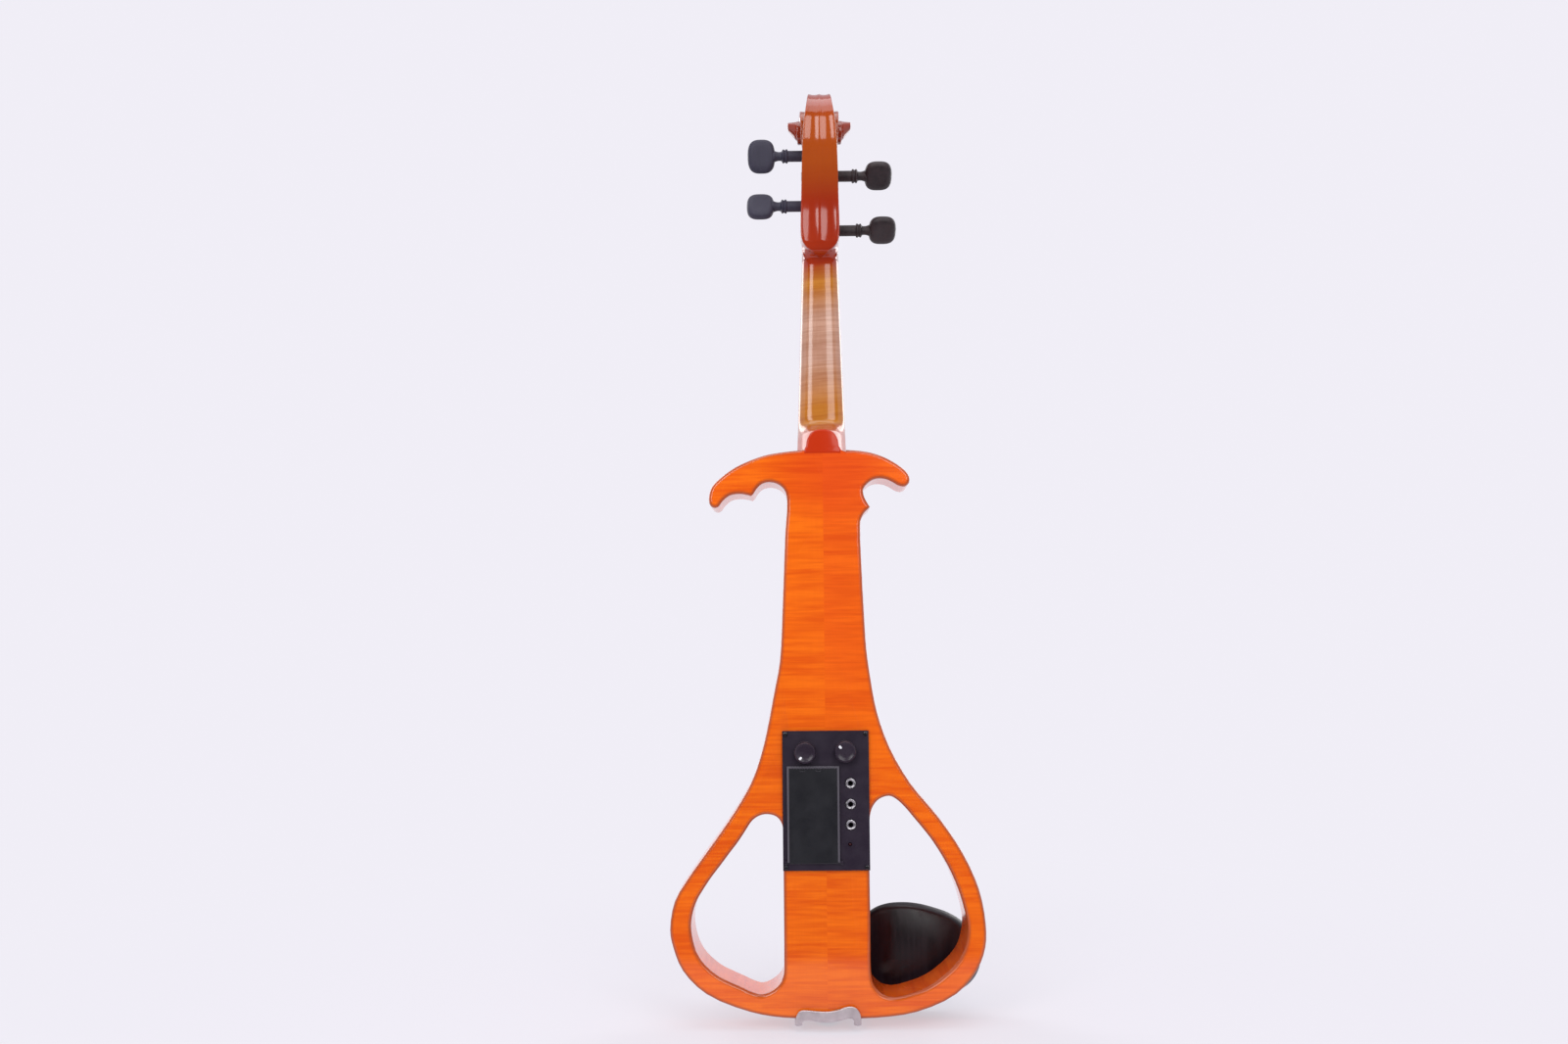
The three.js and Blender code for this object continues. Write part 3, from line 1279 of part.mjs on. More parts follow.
// Potentiometers and their knobs; each knob is one piece with its shaft
const potFront = fitGap * 2;
const potRear = boardForward - fitGap;
for (const { name, x, z, pointerDegrees } of knobs) {
  piece(`${name}_pot`, cut(
    join(
      block([x - potHalf, potFront, z - potHalf], [x + potHalf, potRear, z + potHalf]),
      rodAlongY(bushRadius, panelFace - bushPast, potFront + bushPast, x, z),
    ),
    rodAlongY(bushBore, panelFace - overrun, potFront + knobShaftLength, x, z, lowSides),
  ), nickel);
  const knobFace = panelFace - bushPast - fitGap;
  const pointerLow = knobTopRadius * pointerShares[0];
  const pointerHigh = knobTopRadius * pointerShares[1];
  const knob = piece(`${name}_knob`, cut(
    turned([
      [0, knobShaftLength], [knobShaftRadius, knobShaftLength], [knobShaftRadius, 0], [knobRadius, 0],
      [knobTopRadius, -knobHeight], [0, -knobHeight],
    ].reverse(), fineSides),
    block(
      [pointerLow, -knobHeight - pointerDepth, -pointerWidth / 2],
      [pointerHigh, -knobHeight + pointerDepth, pointerWidth / 2],
    ),
  ), blackPlastic);
  knob.position.set(x, knobFace, z);
  knob.rotation.y = -THREE.MathUtils.degToRad(pointerDegrees);
}

// Sockets: a metal collar in the panel and a body that stands on the board
for (const [name, z] of jackPlaces) {
  piece(name, cut(
    join(
      block([jackX - jackHalf, potFront, z - jackHalf], [jackX + jackHalf, potRear, z + jackHalf]),
      rodAlongY(jackCollar, panelFace - jackPast, potFront + jackPast, jackX, z),
    ),
    rodAlongY(jackBore, panelFace - overrun, panelFace - jackPast + jackBoreDepth, jackX, z, lowSides),
  ), nickel);
}
piece('power_lamp', turned([
  [0, 0], [lampRadius * lampFaceShare, 0], [lampRadius, lampRadius / 2], [lampRadius, potFront - panelFace],
  [lampFlange, potFront - panelFace], [lampFlange, potRear - panelFace], [0, potRear - panelFace],
], lowSides).translate(lampX, panelFace, lampPlace), lampRed);

// The origin is under the scroll's ears, where a hanger's fork holds the violin
const model = new THREE.Group();
violin.position.set(0, -eyeForward, -(eyePlace - earRadius));
model.add(violin);

export default model;
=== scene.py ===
# %% [markdown]
# An electric violin seen from behind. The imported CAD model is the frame: it gives every node its place in
# metres, and each piece made here rides on one of its bodies. The scene could be modelled from nothing, but
# then every joint would have to be placed twice, so the frame comes first and the looks are fitted to it.

# %% Load the frame
import json
import math
import bmesh
import bpy
from mathutils import Matrix, Vector


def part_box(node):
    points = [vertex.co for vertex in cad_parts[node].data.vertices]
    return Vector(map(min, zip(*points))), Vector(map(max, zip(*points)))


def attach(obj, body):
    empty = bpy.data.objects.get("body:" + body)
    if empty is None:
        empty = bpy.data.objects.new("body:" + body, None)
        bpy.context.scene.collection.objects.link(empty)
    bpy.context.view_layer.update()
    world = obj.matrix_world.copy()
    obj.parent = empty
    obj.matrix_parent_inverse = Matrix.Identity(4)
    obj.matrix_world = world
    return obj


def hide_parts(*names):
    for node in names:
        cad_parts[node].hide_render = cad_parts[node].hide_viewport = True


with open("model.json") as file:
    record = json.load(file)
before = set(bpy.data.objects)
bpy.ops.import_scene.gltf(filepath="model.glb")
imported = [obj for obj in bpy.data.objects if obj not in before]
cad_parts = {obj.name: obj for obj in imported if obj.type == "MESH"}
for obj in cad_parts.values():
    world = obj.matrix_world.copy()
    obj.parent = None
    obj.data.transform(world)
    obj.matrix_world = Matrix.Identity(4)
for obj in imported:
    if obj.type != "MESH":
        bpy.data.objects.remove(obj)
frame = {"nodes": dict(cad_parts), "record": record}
nodes = frame["nodes"]
scene = bpy.context.scene
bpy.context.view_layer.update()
SLOT_OF = {part["node"]: part["material_slot"] for part in frame["record"]["subparts"]}
BODY_OF = {node: body for body, held in frame["record"]["behaviour"]["bodies"].items() for node in held}

# %% [markdown]
# The violin is easiest to think about in millimetres, with the flat back at y 0 and the bottom edge of the
# body at z 0. The frame has its origin under the scroll instead. One matrix takes a finished piece from the
# maker's coordinates to the frame, so that no number has to be converted by hand.

# %% Millimetres of the violin to metres of the frame
BODY_LENGTH = 356.5
NUT = BODY_LENGTH + 130.0
BRIDGE = BODY_LENGTH * 0.453
BACK_PLACE, BOTTOM_PLACE = -0.009, -0.5598
TO_FRAME = Matrix.Translation((0.0, BACK_PLACE, BOTTOM_PLACE)) @ Matrix.Scale(0.001, 4)


def lerp(low, high, share):
    return low + (high - low) * share


def clamp(value):
    return min(max(value, 0.0), 1.0)


def along(table, t):
    """Smooth value at t through rows of (t, value, ...), as a spline drawn through marked stations."""
    row = max([k for k in range(len(table) - 1) if table[k][0] <= t] or [0])
    start, end = table[row], table[row + 1]
    before, after = table[max(row - 1, 0)], table[min(row + 2, len(table) - 1)]
    span = end[0] - start[0]
    u = clamp((t - start[0]) / span)
    values = []
    for k in range(1, len(start)):
        slope = (end[k] - before[k]) / (end[0] - before[0]) * span
        next_slope = (after[k] - start[k]) / (after[0] - start[0]) * span
        values.append((2 * u**3 - 3 * u**2 + 1) * start[k] + (u**3 - 2 * u**2 + u) * slope
                      + (3 * u**2 - 2 * u**3) * end[k] + (u**3 - u**2) * next_slope)
    return values if len(values) > 1 else values[0]


def stations(low, high, count):
    return [lerp(low, high, k / (count - 1)) for k in range(count)]


# %% [markdown]
# The photograph was taken from straight behind the violin, a little above its lower third, with the camera
# tipped up by almost five degrees. The point of the picture where all lines from back to front would meet
# gives the camera's turn exactly, which is safer than guessing three angles.

# %% Camera
PHOTO_WIDTH, PHOTO_HEIGHT, FOCAL = 1601, 1066, 1522.0
MEETING_POINT, ROLL = (820.0, 660.0), math.radians(0.5)
CAMERA_PLACE = (-0.0135, -0.956, -0.3291)
inward = Vector((MEETING_POINT[0] - PHOTO_WIDTH / 2, PHOTO_HEIGHT / 2 - MEETING_POINT[1], -FOCAL))
inward.normalize()
upward = Vector((-math.sin(ROLL), math.cos(ROLL), 0.0))
upward = (upward - upward.dot(inward) * inward).normalized()
lens = bpy.data.cameras.new("photo_camera")
lens.sensor_fit, lens.sensor_width = "HORIZONTAL", 36.0
lens.lens = FOCAL / PHOTO_WIDTH * lens.sensor_width
lens.clip_start, lens.clip_end = 0.01, 60.0
camera = bpy.data.objects.new("photo_camera", lens)
turn = Matrix((inward.cross(upward), inward, upward)).to_4x4()
camera.matrix_world = Matrix.Translation(CAMERA_PLACE) @ turn
scene.collection.objects.link(camera)
scene.camera = camera
print("lens", round(lens.lens, 2), "tip and turn", [round(math.degrees(a), 2) for a in camera.rotation_euler])

# %% [markdown]
# Every finish is a small recipe of nodes, and so are the world and the floor. Nodes could be placed and
# linked one by one, but a few short helpers keep each recipe to the lines that say what it mixes. Colours are
# written the way a paint card gives them, from 0 to 255, and turned into the linear values Blender mixes in.

# %% Helpers for node trees
def card(red, green, blue):
    """Linear colour of a paint card given from 0 to 255."""
    channel = [v / 255 for v in (red, green, blue)]
    return (*[v / 12.92 if v <= 0.04045 else ((v + 0.055) / 1.055) ** 2.4 for v in channel], 1.0)


class Recipe:
    """A node tree with short names for the steps that it is mixed from."""

    def __init__(self, tree):
        self.tree = tree

    def plug(self, socket, value):
        """Links a socket to another one, or gives it a plain value. Three numbers are a paint card."""
        if isinstance(value, bpy.types.NodeSocket):
            self.tree.links.new(value, socket)
        elif socket.type == "RGBA" and len(value) == 3:
            socket.default_value = card(*value)
        else:
            socket.default_value = value

    def add(self, kind, *values, **settings):
        """A node. Values go to its sockets in turn; a name with a capital is a socket, others a setting."""
        node = self.tree.nodes.new("ShaderNode" + kind)
        for key, value in settings.items():
            if key[0].isupper():
                self.plug(node.inputs[key.replace("_", " ")], value)
            else:
                setattr(node, key, value)
        for socket, value in zip(node.inputs, values):
            self.plug(socket, value)
        return node

    def math(self, operation, *values):
        return self.add("Math", *values, operation=operation).outputs[0]

    def times(self, first, second):
        return self.math("MULTIPLY", first, second)

    def levels(self, source, low, high, to_low=0.0, to_high=1.0):
        return self.add("MapRange", source, low, high, to_low, to_high).outputs["Result"]

    def noise(self, source, scale, detail, rough=0.55, distort=0.0):
        """Noise drawn out along one direction by scaling the coordinates."""
        mapping = self.add("Mapping", Vector=source, Scale=scale).outputs[0]
        return self.add("TexNoise", Vector=mapping, Scale=1.0, Detail=detail, Roughness=rough,
                        Distortion=distort).outputs["Fac"]

    def blend(self, mask, first, second):
        node = self.add("Mix", data_type="RGBA")
        for slot, value in ((0, mask), (6, first), (7, second)):
            self.plug(node.inputs[slot], value)
        return node.outputs[2]


# %% [markdown]
# A studio floor that runs out into the same white as the world has no horizon. Near the violin it is plain
# matt paint that takes the shadow; further out it turns into the colour of the surroundings.

# %% Surroundings and floor
PAPER = (0.875, 0.855, 0.925, 1.0)
FLOOR_HEIGHT = -0.5668
scene.world = bpy.data.worlds.new("studio")
scene.world.use_nodes = True
sky = Recipe(scene.world.node_tree)
sky.tree.nodes.clear()
rays = sky.add("LightPath").outputs
seen_by = sky.math("MAXIMUM", rays["Is Camera Ray"], rays["Is Glossy Ray"])
seen_by = sky.math("MAXIMUM", seen_by, rays["Is Transmission Ray"])
ambient = sky.add("Background", (0.93, 0.95, 1.0, 1.0), 0.42).outputs[0]
seen = sky.add("Background", PAPER, 1.0).outputs[0]
sky.add("OutputWorld", sky.add("MixShader", seen_by, ambient, seen).outputs[0])


def stage_piece(name, build):
    """A piece of the studio, with an empty material for its paint."""
    mesh = bpy.data.meshes.new(name)
    build.to_mesh(mesh)
    build.free()
    piece = bpy.data.objects.new(name, mesh)
    scene.collection.objects.link(piece)
    paint = bpy.data.materials.new(name)
    paint.use_nodes = True
    mesh.materials.append(paint)
    return piece, Recipe(paint.node_tree)


build = bmesh.new()
bmesh.ops.create_circle(build, cap_ends=True, segments=64, radius=30.0,
                        matrix=Matrix.Translation((0.0, 0.0, FLOOR_HEIGHT)))
floor, paint = stage_piece("studio_floor", build)
paint.tree.nodes.clear()
place = paint.add("TexCoord").outputs["Object"]
distance = paint.add("VectorMath", place, operation="LENGTH").outputs["Value"]
fade = paint.add("MapRange", distance, 0.12, 0.95, interpolation_type="SMOOTHSTEP").outputs["Result"]
matt = paint.add("BsdfDiffuse", (0.74, 0.71, 0.77, 1.0)).outputs[0]
glow = paint.add("Emission", PAPER).outputs[0]
paint.add("OutputMaterial", paint.add("MixShader", fade, matt, glow).outputs[0])
print("floor", FLOOR_HEIGHT)

# %% [markdown]
# Varnish is judged by its highlights. Two upright soft boxes stand behind the camera on either side. They
# draw the two long streaks down the neck and end high enough to leave the back of the pegbox dark between
# its own highlights. The room behind them is dark, as in a studio, and only gloss sees it. A broad lamp above
# and two in front keep every other side readable.

# %% Lamps
LAMPS = [
    # name, place, the point it shines at, width and height, power
    ("left_box", (-0.66, -1.35, 0.36), (0.0, 0.0, -0.1), (0.55, 1.05), 9.6),
    ("right_box", (0.54, -1.42, 0.36), (0.0, 0.0, -0.1), (0.75, 1.05), 9.2),
    ("top_box", (0.0, -0.35, 1.2), (0.0, 0.0, -0.3), (1.2, 1.2), 10.0),
    ("front_left_box", (-1.1, 1.2, 0.3), (0.0, 0.0, -0.3), (0.8, 1.4), 12.0),
    ("front_right_box", (1.1, 1.3, 0.3), (0.0, 0.0, -0.3), (0.8, 1.4), 12.0),
]
for name, spot, target, size, power in LAMPS:
    lamp = bpy.data.lights.new(name, "AREA")
    lamp.shape, lamp.energy = "RECTANGLE", power
    lamp.size, lamp.size_y = size
    holder = bpy.data.objects.new(name, lamp)
    holder.location = spot
    holder.rotation_euler = (Vector(target) - Vector(spot)).to_track_quat("-Z", "Y").to_euler()
    holder.visible_camera = False
    scene.collection.objects.link(holder)

ROOM_HALF, ROOM_WALL, ROOM_GROUND = 3.0, -2.0, -0.2
build = bmesh.new()
wall = Matrix.Translation((0, ROOM_WALL, 2.44)) @ Matrix.Rotation(math.pi / 2, 4, "X")
ground = Matrix.Translation((0, ROOM_GROUND - ROOM_HALF, FLOOR_HEIGHT + 0.003))
for lie in (wall, ground):
    bmesh.ops.create_grid(build, x_segments=1, y_segments=1, size=ROOM_HALF, matrix=lie)
dark_room, paint = stage_piece("dark_room", build)
dark_room.visible_camera = dark_room.visible_diffuse = dark_room.visible_shadow = False
shader = paint.tree.nodes["Principled BSDF"]
shader.inputs["Base Color"].default_value = (0.03, 0.028, 0.032, 1.0)
shader.inputs["Roughness"].default_value = 1.0
scene.view_settings.view_transform = "Standard"
print("lamps", len(LAMPS))

# %% [markdown]
# Patterns live in node groups, because wood grain, fine plastic grain and brushed metal each serve several
# finishes. Flamed maple shows bands across its grain, because the fibres wave in and out of the surface. On
# this violin the bands run level, four to six millimetres apart, broken and uneven. The group gives the
# bands, the fine grain that runs up the wood, and slow changes of tone.

# %% Pattern of flamed maple
def new_group(name, outputs, **numbers):
    """A group with a vector and numbers going in and numbers coming out."""
    group = bpy.data.node_groups.new(name, "ShaderNodeTree")
    group.interface.new_socket(name="Vector", in_out="INPUT", socket_type="NodeSocketVector")
    for label, value in numbers.items():
        socket = group.interface.new_socket(name=label, in_out="INPUT", socket_type="NodeSocketFloat")
        socket.default_value = value
    for label in outputs:
        group.interface.new_socket(name=label, in_out="OUTPUT", socket_type="NodeSocketFloat")
    inner = group.nodes.new("NodeGroupInput").outputs
    return Recipe(group), inner, group.nodes.new("NodeGroupOutput").inputs


flame, inner, out = new_group("flamed_maple", ("Flame", "Grain", "Tone"), Slant=0.0)
x, y, z = flame.add("SeparateXYZ", inner["Vector"]).outputs
bowed = flame.math("ADD", flame.times(x, inner["Slant"]), z)
level = flame.add("CombineXYZ", x, y, bowed).outputs[0]
bands = flame.noise(level, (30.0, 24.0, 520.0), 3.0, 0.6, 0.3)
broad = flame.noise(level, (10.0, 12.0, 70.0), 2.0, 0.5, 0.6)
bands = flame.math("ADD", flame.times(bands, 0.6), flame.times(broad, 0.4))
grain = flame.noise(inner["Vector"], (900.0, 900.0, 38.0), 3.0)
tone = flame.noise(inner["Vector"], (11.0, 11.0, 5.0), 2.0)
flame.plug(out["Flame"], flame.levels(bands, 0.38, 0.6))
flame.plug(out["Grain"], flame.levels(grain, 0.3, 0.7))
flame.plug(out["Tone"], flame.levels(tone, 0.3, 0.7))

# %% [markdown]
# Ebony is nearly black with grey-brown threads along the grain and small open pores. Moulded plastic has a
# fine even grain from the tool. Nickel parts carry short scratches from polishing. Each is a group as well.

# %% Patterns of ebony, moulded plastic and polished metal
ebony_grain, inner, out = new_group("ebony_grain", ("Thread", "Pore"))
threads = ebony_grain.noise(inner["Vector"], (420.0, 420.0, 14.0), 4.0)
pores = ebony_grain.noise(inner["Vector"], (1500.0, 1500.0, 160.0), 2.0)
ebony_grain.plug(out["Thread"], ebony_grain.levels(threads, 0.35, 0.75))
ebony_grain.plug(out["Pore"], ebony_grain.levels(pores, 0.55, 0.8))

moulded, inner, out = new_group("moulded_grain", ("Grain", "Rub"), Size=1600.0)
fine = moulded.add("TexNoise", Vector=inner["Vector"], Scale=inner["Size"], Detail=2.0, Roughness=0.6)
rub = moulded.add("TexNoise", Vector=inner["Vector"], Scale=90.0, Detail=4.0, Roughness=0.65)
moulded.plug(out["Grain"], fine.outputs["Fac"])
moulded.plug(out["Rub"], moulded.levels(rub.outputs["Fac"], 0.35, 0.7))

polished, inner, out = new_group("polish_marks", ("Scratch", "Smudge"))
scratches = polished.noise(inner["Vector"], (2600.0, 300.0, 300.0), 3.0)
smudge = polished.add("TexNoise", Vector=inner["Vector"], Scale=140.0, Detail=3.0, Roughness=0.5)
polished.plug(out["Scratch"], polished.levels(scratches, 0.35, 0.65))
polished.plug(out["Smudge"], polished.levels(smudge.outputs["Fac"], 0.35, 0.7))
print("pattern groups", [group.name for group in bpy.data.node_groups])

# %% [markdown]
# A finish starts as a Principled shader with its plain values on its own sockets. The group of its pattern is
# placed beside it and drives colour, roughness and a shallow bump.

# %% Start of a finish
class Finish(Recipe):
    """A Principled shader with the group of its pattern beside it."""

    def __init__(self, name, pattern, **sockets):
        self.material = bpy.data.materials.new(name)
        self.material.use_nodes = True
        super().__init__(self.material.node_tree)
        self.shader = self.tree.nodes["Principled BSDF"]
        self.drive(**sockets)
        self.place = self.add("TexCoord").outputs["Object"]
        self.group = self.tree.nodes.new("ShaderNodeGroup")
        self.group.node_tree = pattern.tree
        self.plug(self.group.inputs["Vector"], self.place)
        self.pattern = self.group.outputs

    def drive(self, **sockets):
        for key, value in sockets.items():
            self.plug(self.shader.inputs[key.replace("_", " ")], value)

    def relief(self, height, depth, strength=0.3):
        """Bump of the given depth in metres."""
        bump = self.add("Bump", Strength=strength, Distance=depth, Height=height)
        self.drive(Normal=bump.outputs[0])

    def mark(self, name):
        return self.add("Attribute", attribute_name=name).outputs["Fac"]


# %% [markdown]
# The body is stained amber orange under thick gloss. The two halves of the column are cut from the same
# board and glued edge to edge, so the flame breaks at the middle and one half looks redder than the other.
# The rounded edges are painted darker as shade where they turn away from the flat faces, which an attribute
# on the edge faces marks.

# %% Varnish of the body
maple = Finish("amber_varnished_maple", flame, Roughness=0.3, Coat_Weight=0.9, Coat_Roughness=0.1,
               Coat_IOR=1.5, IOR=1.5, Specular_IOR_Level=0.08)
x, y, z = maple.add("SeparateXYZ", maple.place).outputs
side = maple.levels(x, -0.0001, 0.0001)
booked = maple.add("CombineXYZ", maple.math("ABSOLUTE", x), maple.math("ADD", y, maple.times(side, 0.02)),
                   maple.math("ADD", z, maple.times(side, 0.003)))
maple.plug(maple.group.inputs["Vector"], booked.outputs[0])
from_neck = maple.add("VectorMath", maple.place, (0.0, 0.0, -0.212), operation="DISTANCE").outputs["Value"]
upper = maple.levels(from_neck, 0.044, 0.012)
column = maple.levels(z, -0.40, -0.33)
redder = maple.times(maple.times(side, 0.55), column)
redder = maple.math("MINIMUM", maple.math("ADD", redder, maple.times(upper, 0.75)), 1.0)
light = maple.blend(redder, (236, 110, 8), (227, 87, 10))
dark = maple.blend(redder, (213, 80, 2), (203, 63, 4))
base = maple.blend(maple.pattern["Flame"], dark, light)
# The last mask paints the rounded edges a darker brown, as shade.
for mask, share, colour in ((upper, 0.5, (206, 60, 8)), (maple.pattern["Grain"], 0.12, (206, 76, 10)),
                            (maple.pattern["Tone"], 0.3, (232, 88, 6)),
                            (maple.mark("rubbed_edge"), 0.85, (158, 72, 34))):
    base = maple.blend(maple.times(mask, share), base, colour)
maple.drive(Base_Color=base, Roughness=maple.levels(maple.pattern["Tone"], 0.0, 1.0, 0.24, 0.36))
maple.relief(maple.pattern["Grain"], 0.00003, 0.15)

# %% [markdown]
# Neck and head are one piece of paler maple. The middle of the neck is nearly bare, so that the hand slides;
# the stain deepens to amber at both ends, and the head and the round heel button are a deep red-brown. The
# back of the head is a little more orange above and redder below.

# %% Varnish of the neck and head
wood = Finish("shaded_neck_maple", flame, Roughness=0.3, Coat_Weight=1.0, Coat_Roughness=0.11, Coat_IOR=1.56,
              IOR=1.5, Specular_IOR_Level=0.08)
wood.group.inputs["Slant"].default_value = -0.08
bands, grain, tone = wood.pattern
x, y, z = wood.add("SeparateXYZ", wood.place).outputs
bare = wood.blend(bands, (164, 116, 92), (190, 146, 124))
bare = wood.blend(wood.times(grain, 0.3), bare, (158, 112, 86))
amber = wood.blend(bands, (166, 94, 22), (184, 116, 38))
stain = wood.blend(wood.times(bands, 0.12), wood.blend(tone, (100, 18, 2), (156, 48, 3)), (176, 64, 14))
head_glow = wood.levels(z, -0.04, -0.016, 0.0, 0.45)
for fade in (wood.levels(z, 0.022, 0.01), wood.levels(wood.math("ABSOLUTE", x), 0.0125, 0.0115)):
    head_glow = wood.times(head_glow, fade)
stain = wood.blend(head_glow, stain, (170, 84, 8))
stain = wood.blend(wood.levels(z, -0.026, -0.04, 0.0, 0.35), stain, (150, 20, 2))
up = wood.math("ADD", z, wood.times(wood.math("ADD", tone, -0.5), 0.012))
low_stain = wood.levels(up, -0.179, -0.19)
base = wood.math("MAXIMUM", wood.levels(up, -0.136, -0.168), wood.levels(up, -0.106, -0.088))
base = wood.blend(base, bare, amber)
base = wood.blend(wood.math("MAXIMUM", low_stain, wood.levels(up, -0.084, -0.072)), base, stain)
base = wood.blend(low_stain, base, (182, 80, 50))
base = wood.blend(wood.mark("deep_stain"), base, (180, 44, 5))
base = wood.blend(wood.times(wood.mark("rubbed_edge"), 0.6), base, (206, 96, 40))
wood.drive(Base_Color=base, Roughness=wood.levels(tone, 0.0, 1.0, 0.24, 0.36),
           Coat_Weight=wood.levels(low_stain, 0.0, 0.8, 1.0, 0.4))
wood.relief(grain, 0.00003, 0.2)

# %% [markdown]
# Fittings are ebony, oiled rather than varnished. The strings, the clamp and the tuners are metal; the
# preamplifier is a moulded box whose parts differ a little in sheen, as parts from different tools do.

# %% Ebony, plastics and metals
def ebony_finish(name, dark, thread, rough):
    made = Finish(name, ebony_grain, Roughness=rough, IOR=1.45, Specular_IOR_Level=0.45)
    threads, pores = made.pattern
    made.drive(Base_Color=made.blend(made.times(threads, 0.6), dark, thread),
               Roughness=made.levels(threads, 0.0, 1.0, rough - 0.05, rough + 0.08))
    made.relief(pores, 0.00004)
    return made.material


def plastic_finish(name, dark, rubbed, rough, size=1600.0, edge_sheen=None):
    made = Finish(name, moulded, Roughness=rough, IOR=1.46, Specular_IOR_Level=0.4)
    made.group.inputs["Size"].default_value = size
    grain, rub = made.pattern
    base = made.blend(made.times(rub, 0.6), dark, rubbed)
    # The marked edges are painted a lighter colour, as the highlight they catch.
    if edge_sheen:
        base = made.blend(made.times(made.mark("rubbed_edge"), 0.8), base, edge_sheen)
    made.drive(Base_Color=base, Roughness=made.levels(rub, 0.0, 1.0, rough - 0.05, rough + 0.1))
    made.relief(grain, 0.00003, 0.35)
    return made.material


def metal_finish(name, bright, dull, rough):
    made = Finish(name, polished, Roughness=rough, Metallic=1.0)
    scratch, smudge = made.pattern
    made.drive(Base_Color=made.blend(smudge, (*bright, 1.0), (*dull, 1.0)),
               Roughness=made.levels(scratch, 0.0, 1.0, rough - 0.06, rough + 0.1))
    made.relief(scratch, 0.00002, 0.15)
    return made.material


ebony = ebony_finish("oiled_ebony", (20, 18, 19), (44, 36, 32), 0.4)
# The left pegs get a lighter, bluer ebony that paints the sheen they show; the right pegs get a darker,
# browner one.
sheen_peg_ebony = ebony_finish("matt_peg_ebony", (46, 44, 60), (58, 54, 70), 0.6)
warm_peg_ebony = ebony_finish("brown_peg_ebony", (38, 29, 33), (58, 44, 46), 0.52)
chin_ebony = ebony_finish("satin_chinrest_ebony", (20, 11, 18), (34, 24, 34), 0.34)
case_plastic = plastic_finish("panel_plastic", (33, 22, 39), (41, 30, 47), 0.42)
door_plastic = plastic_finish("door_plastic", (19, 19, 26), (27, 27, 34), 0.46, 2200.0, (104, 98, 108))
knob_plastic = plastic_finish("knob_plastic", (42, 33, 45), (54, 45, 58), 0.28)
gut_nylon = plastic_finish("tailgut_nylon", (20, 20, 21), (32, 32, 33), 0.5, 900.0)
pointer_paint = plastic_finish("pointer_paint", (226, 226, 230), (205, 205, 208), 0.5)
battery_jacket = plastic_finish("battery_jacket", (52, 55, 61), (72, 74, 80), 0.35)
board_lacquer = plastic_finish("circuit_lacquer", (24, 92, 54), (36, 112, 70), 0.3, 500.0)
lamp_lens = plastic_finish("lamp_lens", (48, 10, 18), (62, 16, 24), 0.2)
cork_sheet = plastic_finish("pressed_cork", (162, 122, 76), (120, 84, 48), 0.85, 700.0)
nickel = metal_finish("satin_nickel", (0.66, 0.6, 0.62), (0.5, 0.44, 0.46), 0.42)
dark_nickel = metal_finish("blackened_screw_nickel", (0.09, 0.09, 0.1), (0.05, 0.05, 0.06), 0.3)
brass = metal_finish("string_ball_brass", (0.72, 0.55, 0.28), (0.55, 0.4, 0.2), 0.28)
socket_metal = metal_finish("bright_socket_ring", (0.62, 0.6, 0.63), (0.5, 0.48, 0.51), 0.3)
string_wire = metal_finish("string_winding", (0.6, 0.6, 0.61), (0.5, 0.5, 0.51), 0.3)

bare_maple = Finish("bare_bridge_maple", flame, Roughness=0.55)
bands, grain, tone = bare_maple.pattern
base = bare_maple.blend(grain, (214, 172, 118), (190, 144, 92))
bare_maple.drive(Base_Color=bare_maple.blend(bare_maple.times(bands, 0.3), base, (226, 190, 140)))
bare_maple.relief(grain, 0.00005)
print("finishes", len(bpy.data.materials))

# %% [markdown]
# Three ways of making pieces cover the whole violin. A sweep pushes a ring of points through stations, for
# whatever was carved or planed along a line. A turned piece spins a profile, as on a lathe. A dressed piece
# starts from the CAD node, whose sawn shape is right, and breaks its edges with a bevel.

# %% Ways of making pieces
def finish_piece(name, build, material, node, smooth=40.0, in_frame=False):
    """Turns a bmesh into a piece that rides on its node's body and stands for the node."""
    if not in_frame:
        bmesh.ops.transform(build, matrix=TO_FRAME, verts=build.verts)
    bmesh.ops.recalc_face_normals(build, faces=build.faces)
    mesh = bpy.data.meshes.new(name)
    build.to_mesh(mesh)
    build.free()
    mesh.shade_smooth()
    mesh.set_sharp_from_angle(angle=math.radians(smooth))
    piece = bpy.data.objects.new(name, mesh)
    scene.collection.objects.link(piece)
    mesh.materials.append(material)
    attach(piece, BODY_OF[node])
    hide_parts(node)
    return piece


def move(build, matrix):
    bmesh.ops.transform(build, matrix=matrix, verts=build.verts)
    return build


def close_ends(build):
    bmesh.ops.holes_fill(build, edges=[e for e in build.edges if len(e.link_faces) == 1], sides=0)
    return build


def sweep(rings, build=None):
    """Skin through rings of equally many points, closed at both ends."""
    build = build or bmesh.new()
    loop = [build.verts.new(point) for point in rings[0]]
    edges = [build.edges.new((loop[k - 1], loop[k])) for k in range(len(loop))]
    first = list(edges)
    for ring in rings[1:]:
        grown = bmesh.ops.extrude_edge_only(build, edges=edges)["geom"]
        edges = [e for e in grown if isinstance(e, bmesh.types.BMEdge)
                 and len(e.link_faces) == 1 and e not in first]
        moved = {}
        for old in edges:
            face = old.link_faces[0]
            for vert in old.verts:
                below = [e.other_vert(vert) for e in vert.link_edges if e in face.edges and e != old]
                moved[vert] = below[0]
        order = {vert: k for k, vert in enumerate(loop)}
        for vert, below in moved.items():
            loop[order[below]] = vert
        for vert, point in zip(loop, ring):
            vert.co = point
    return close_ends(build)


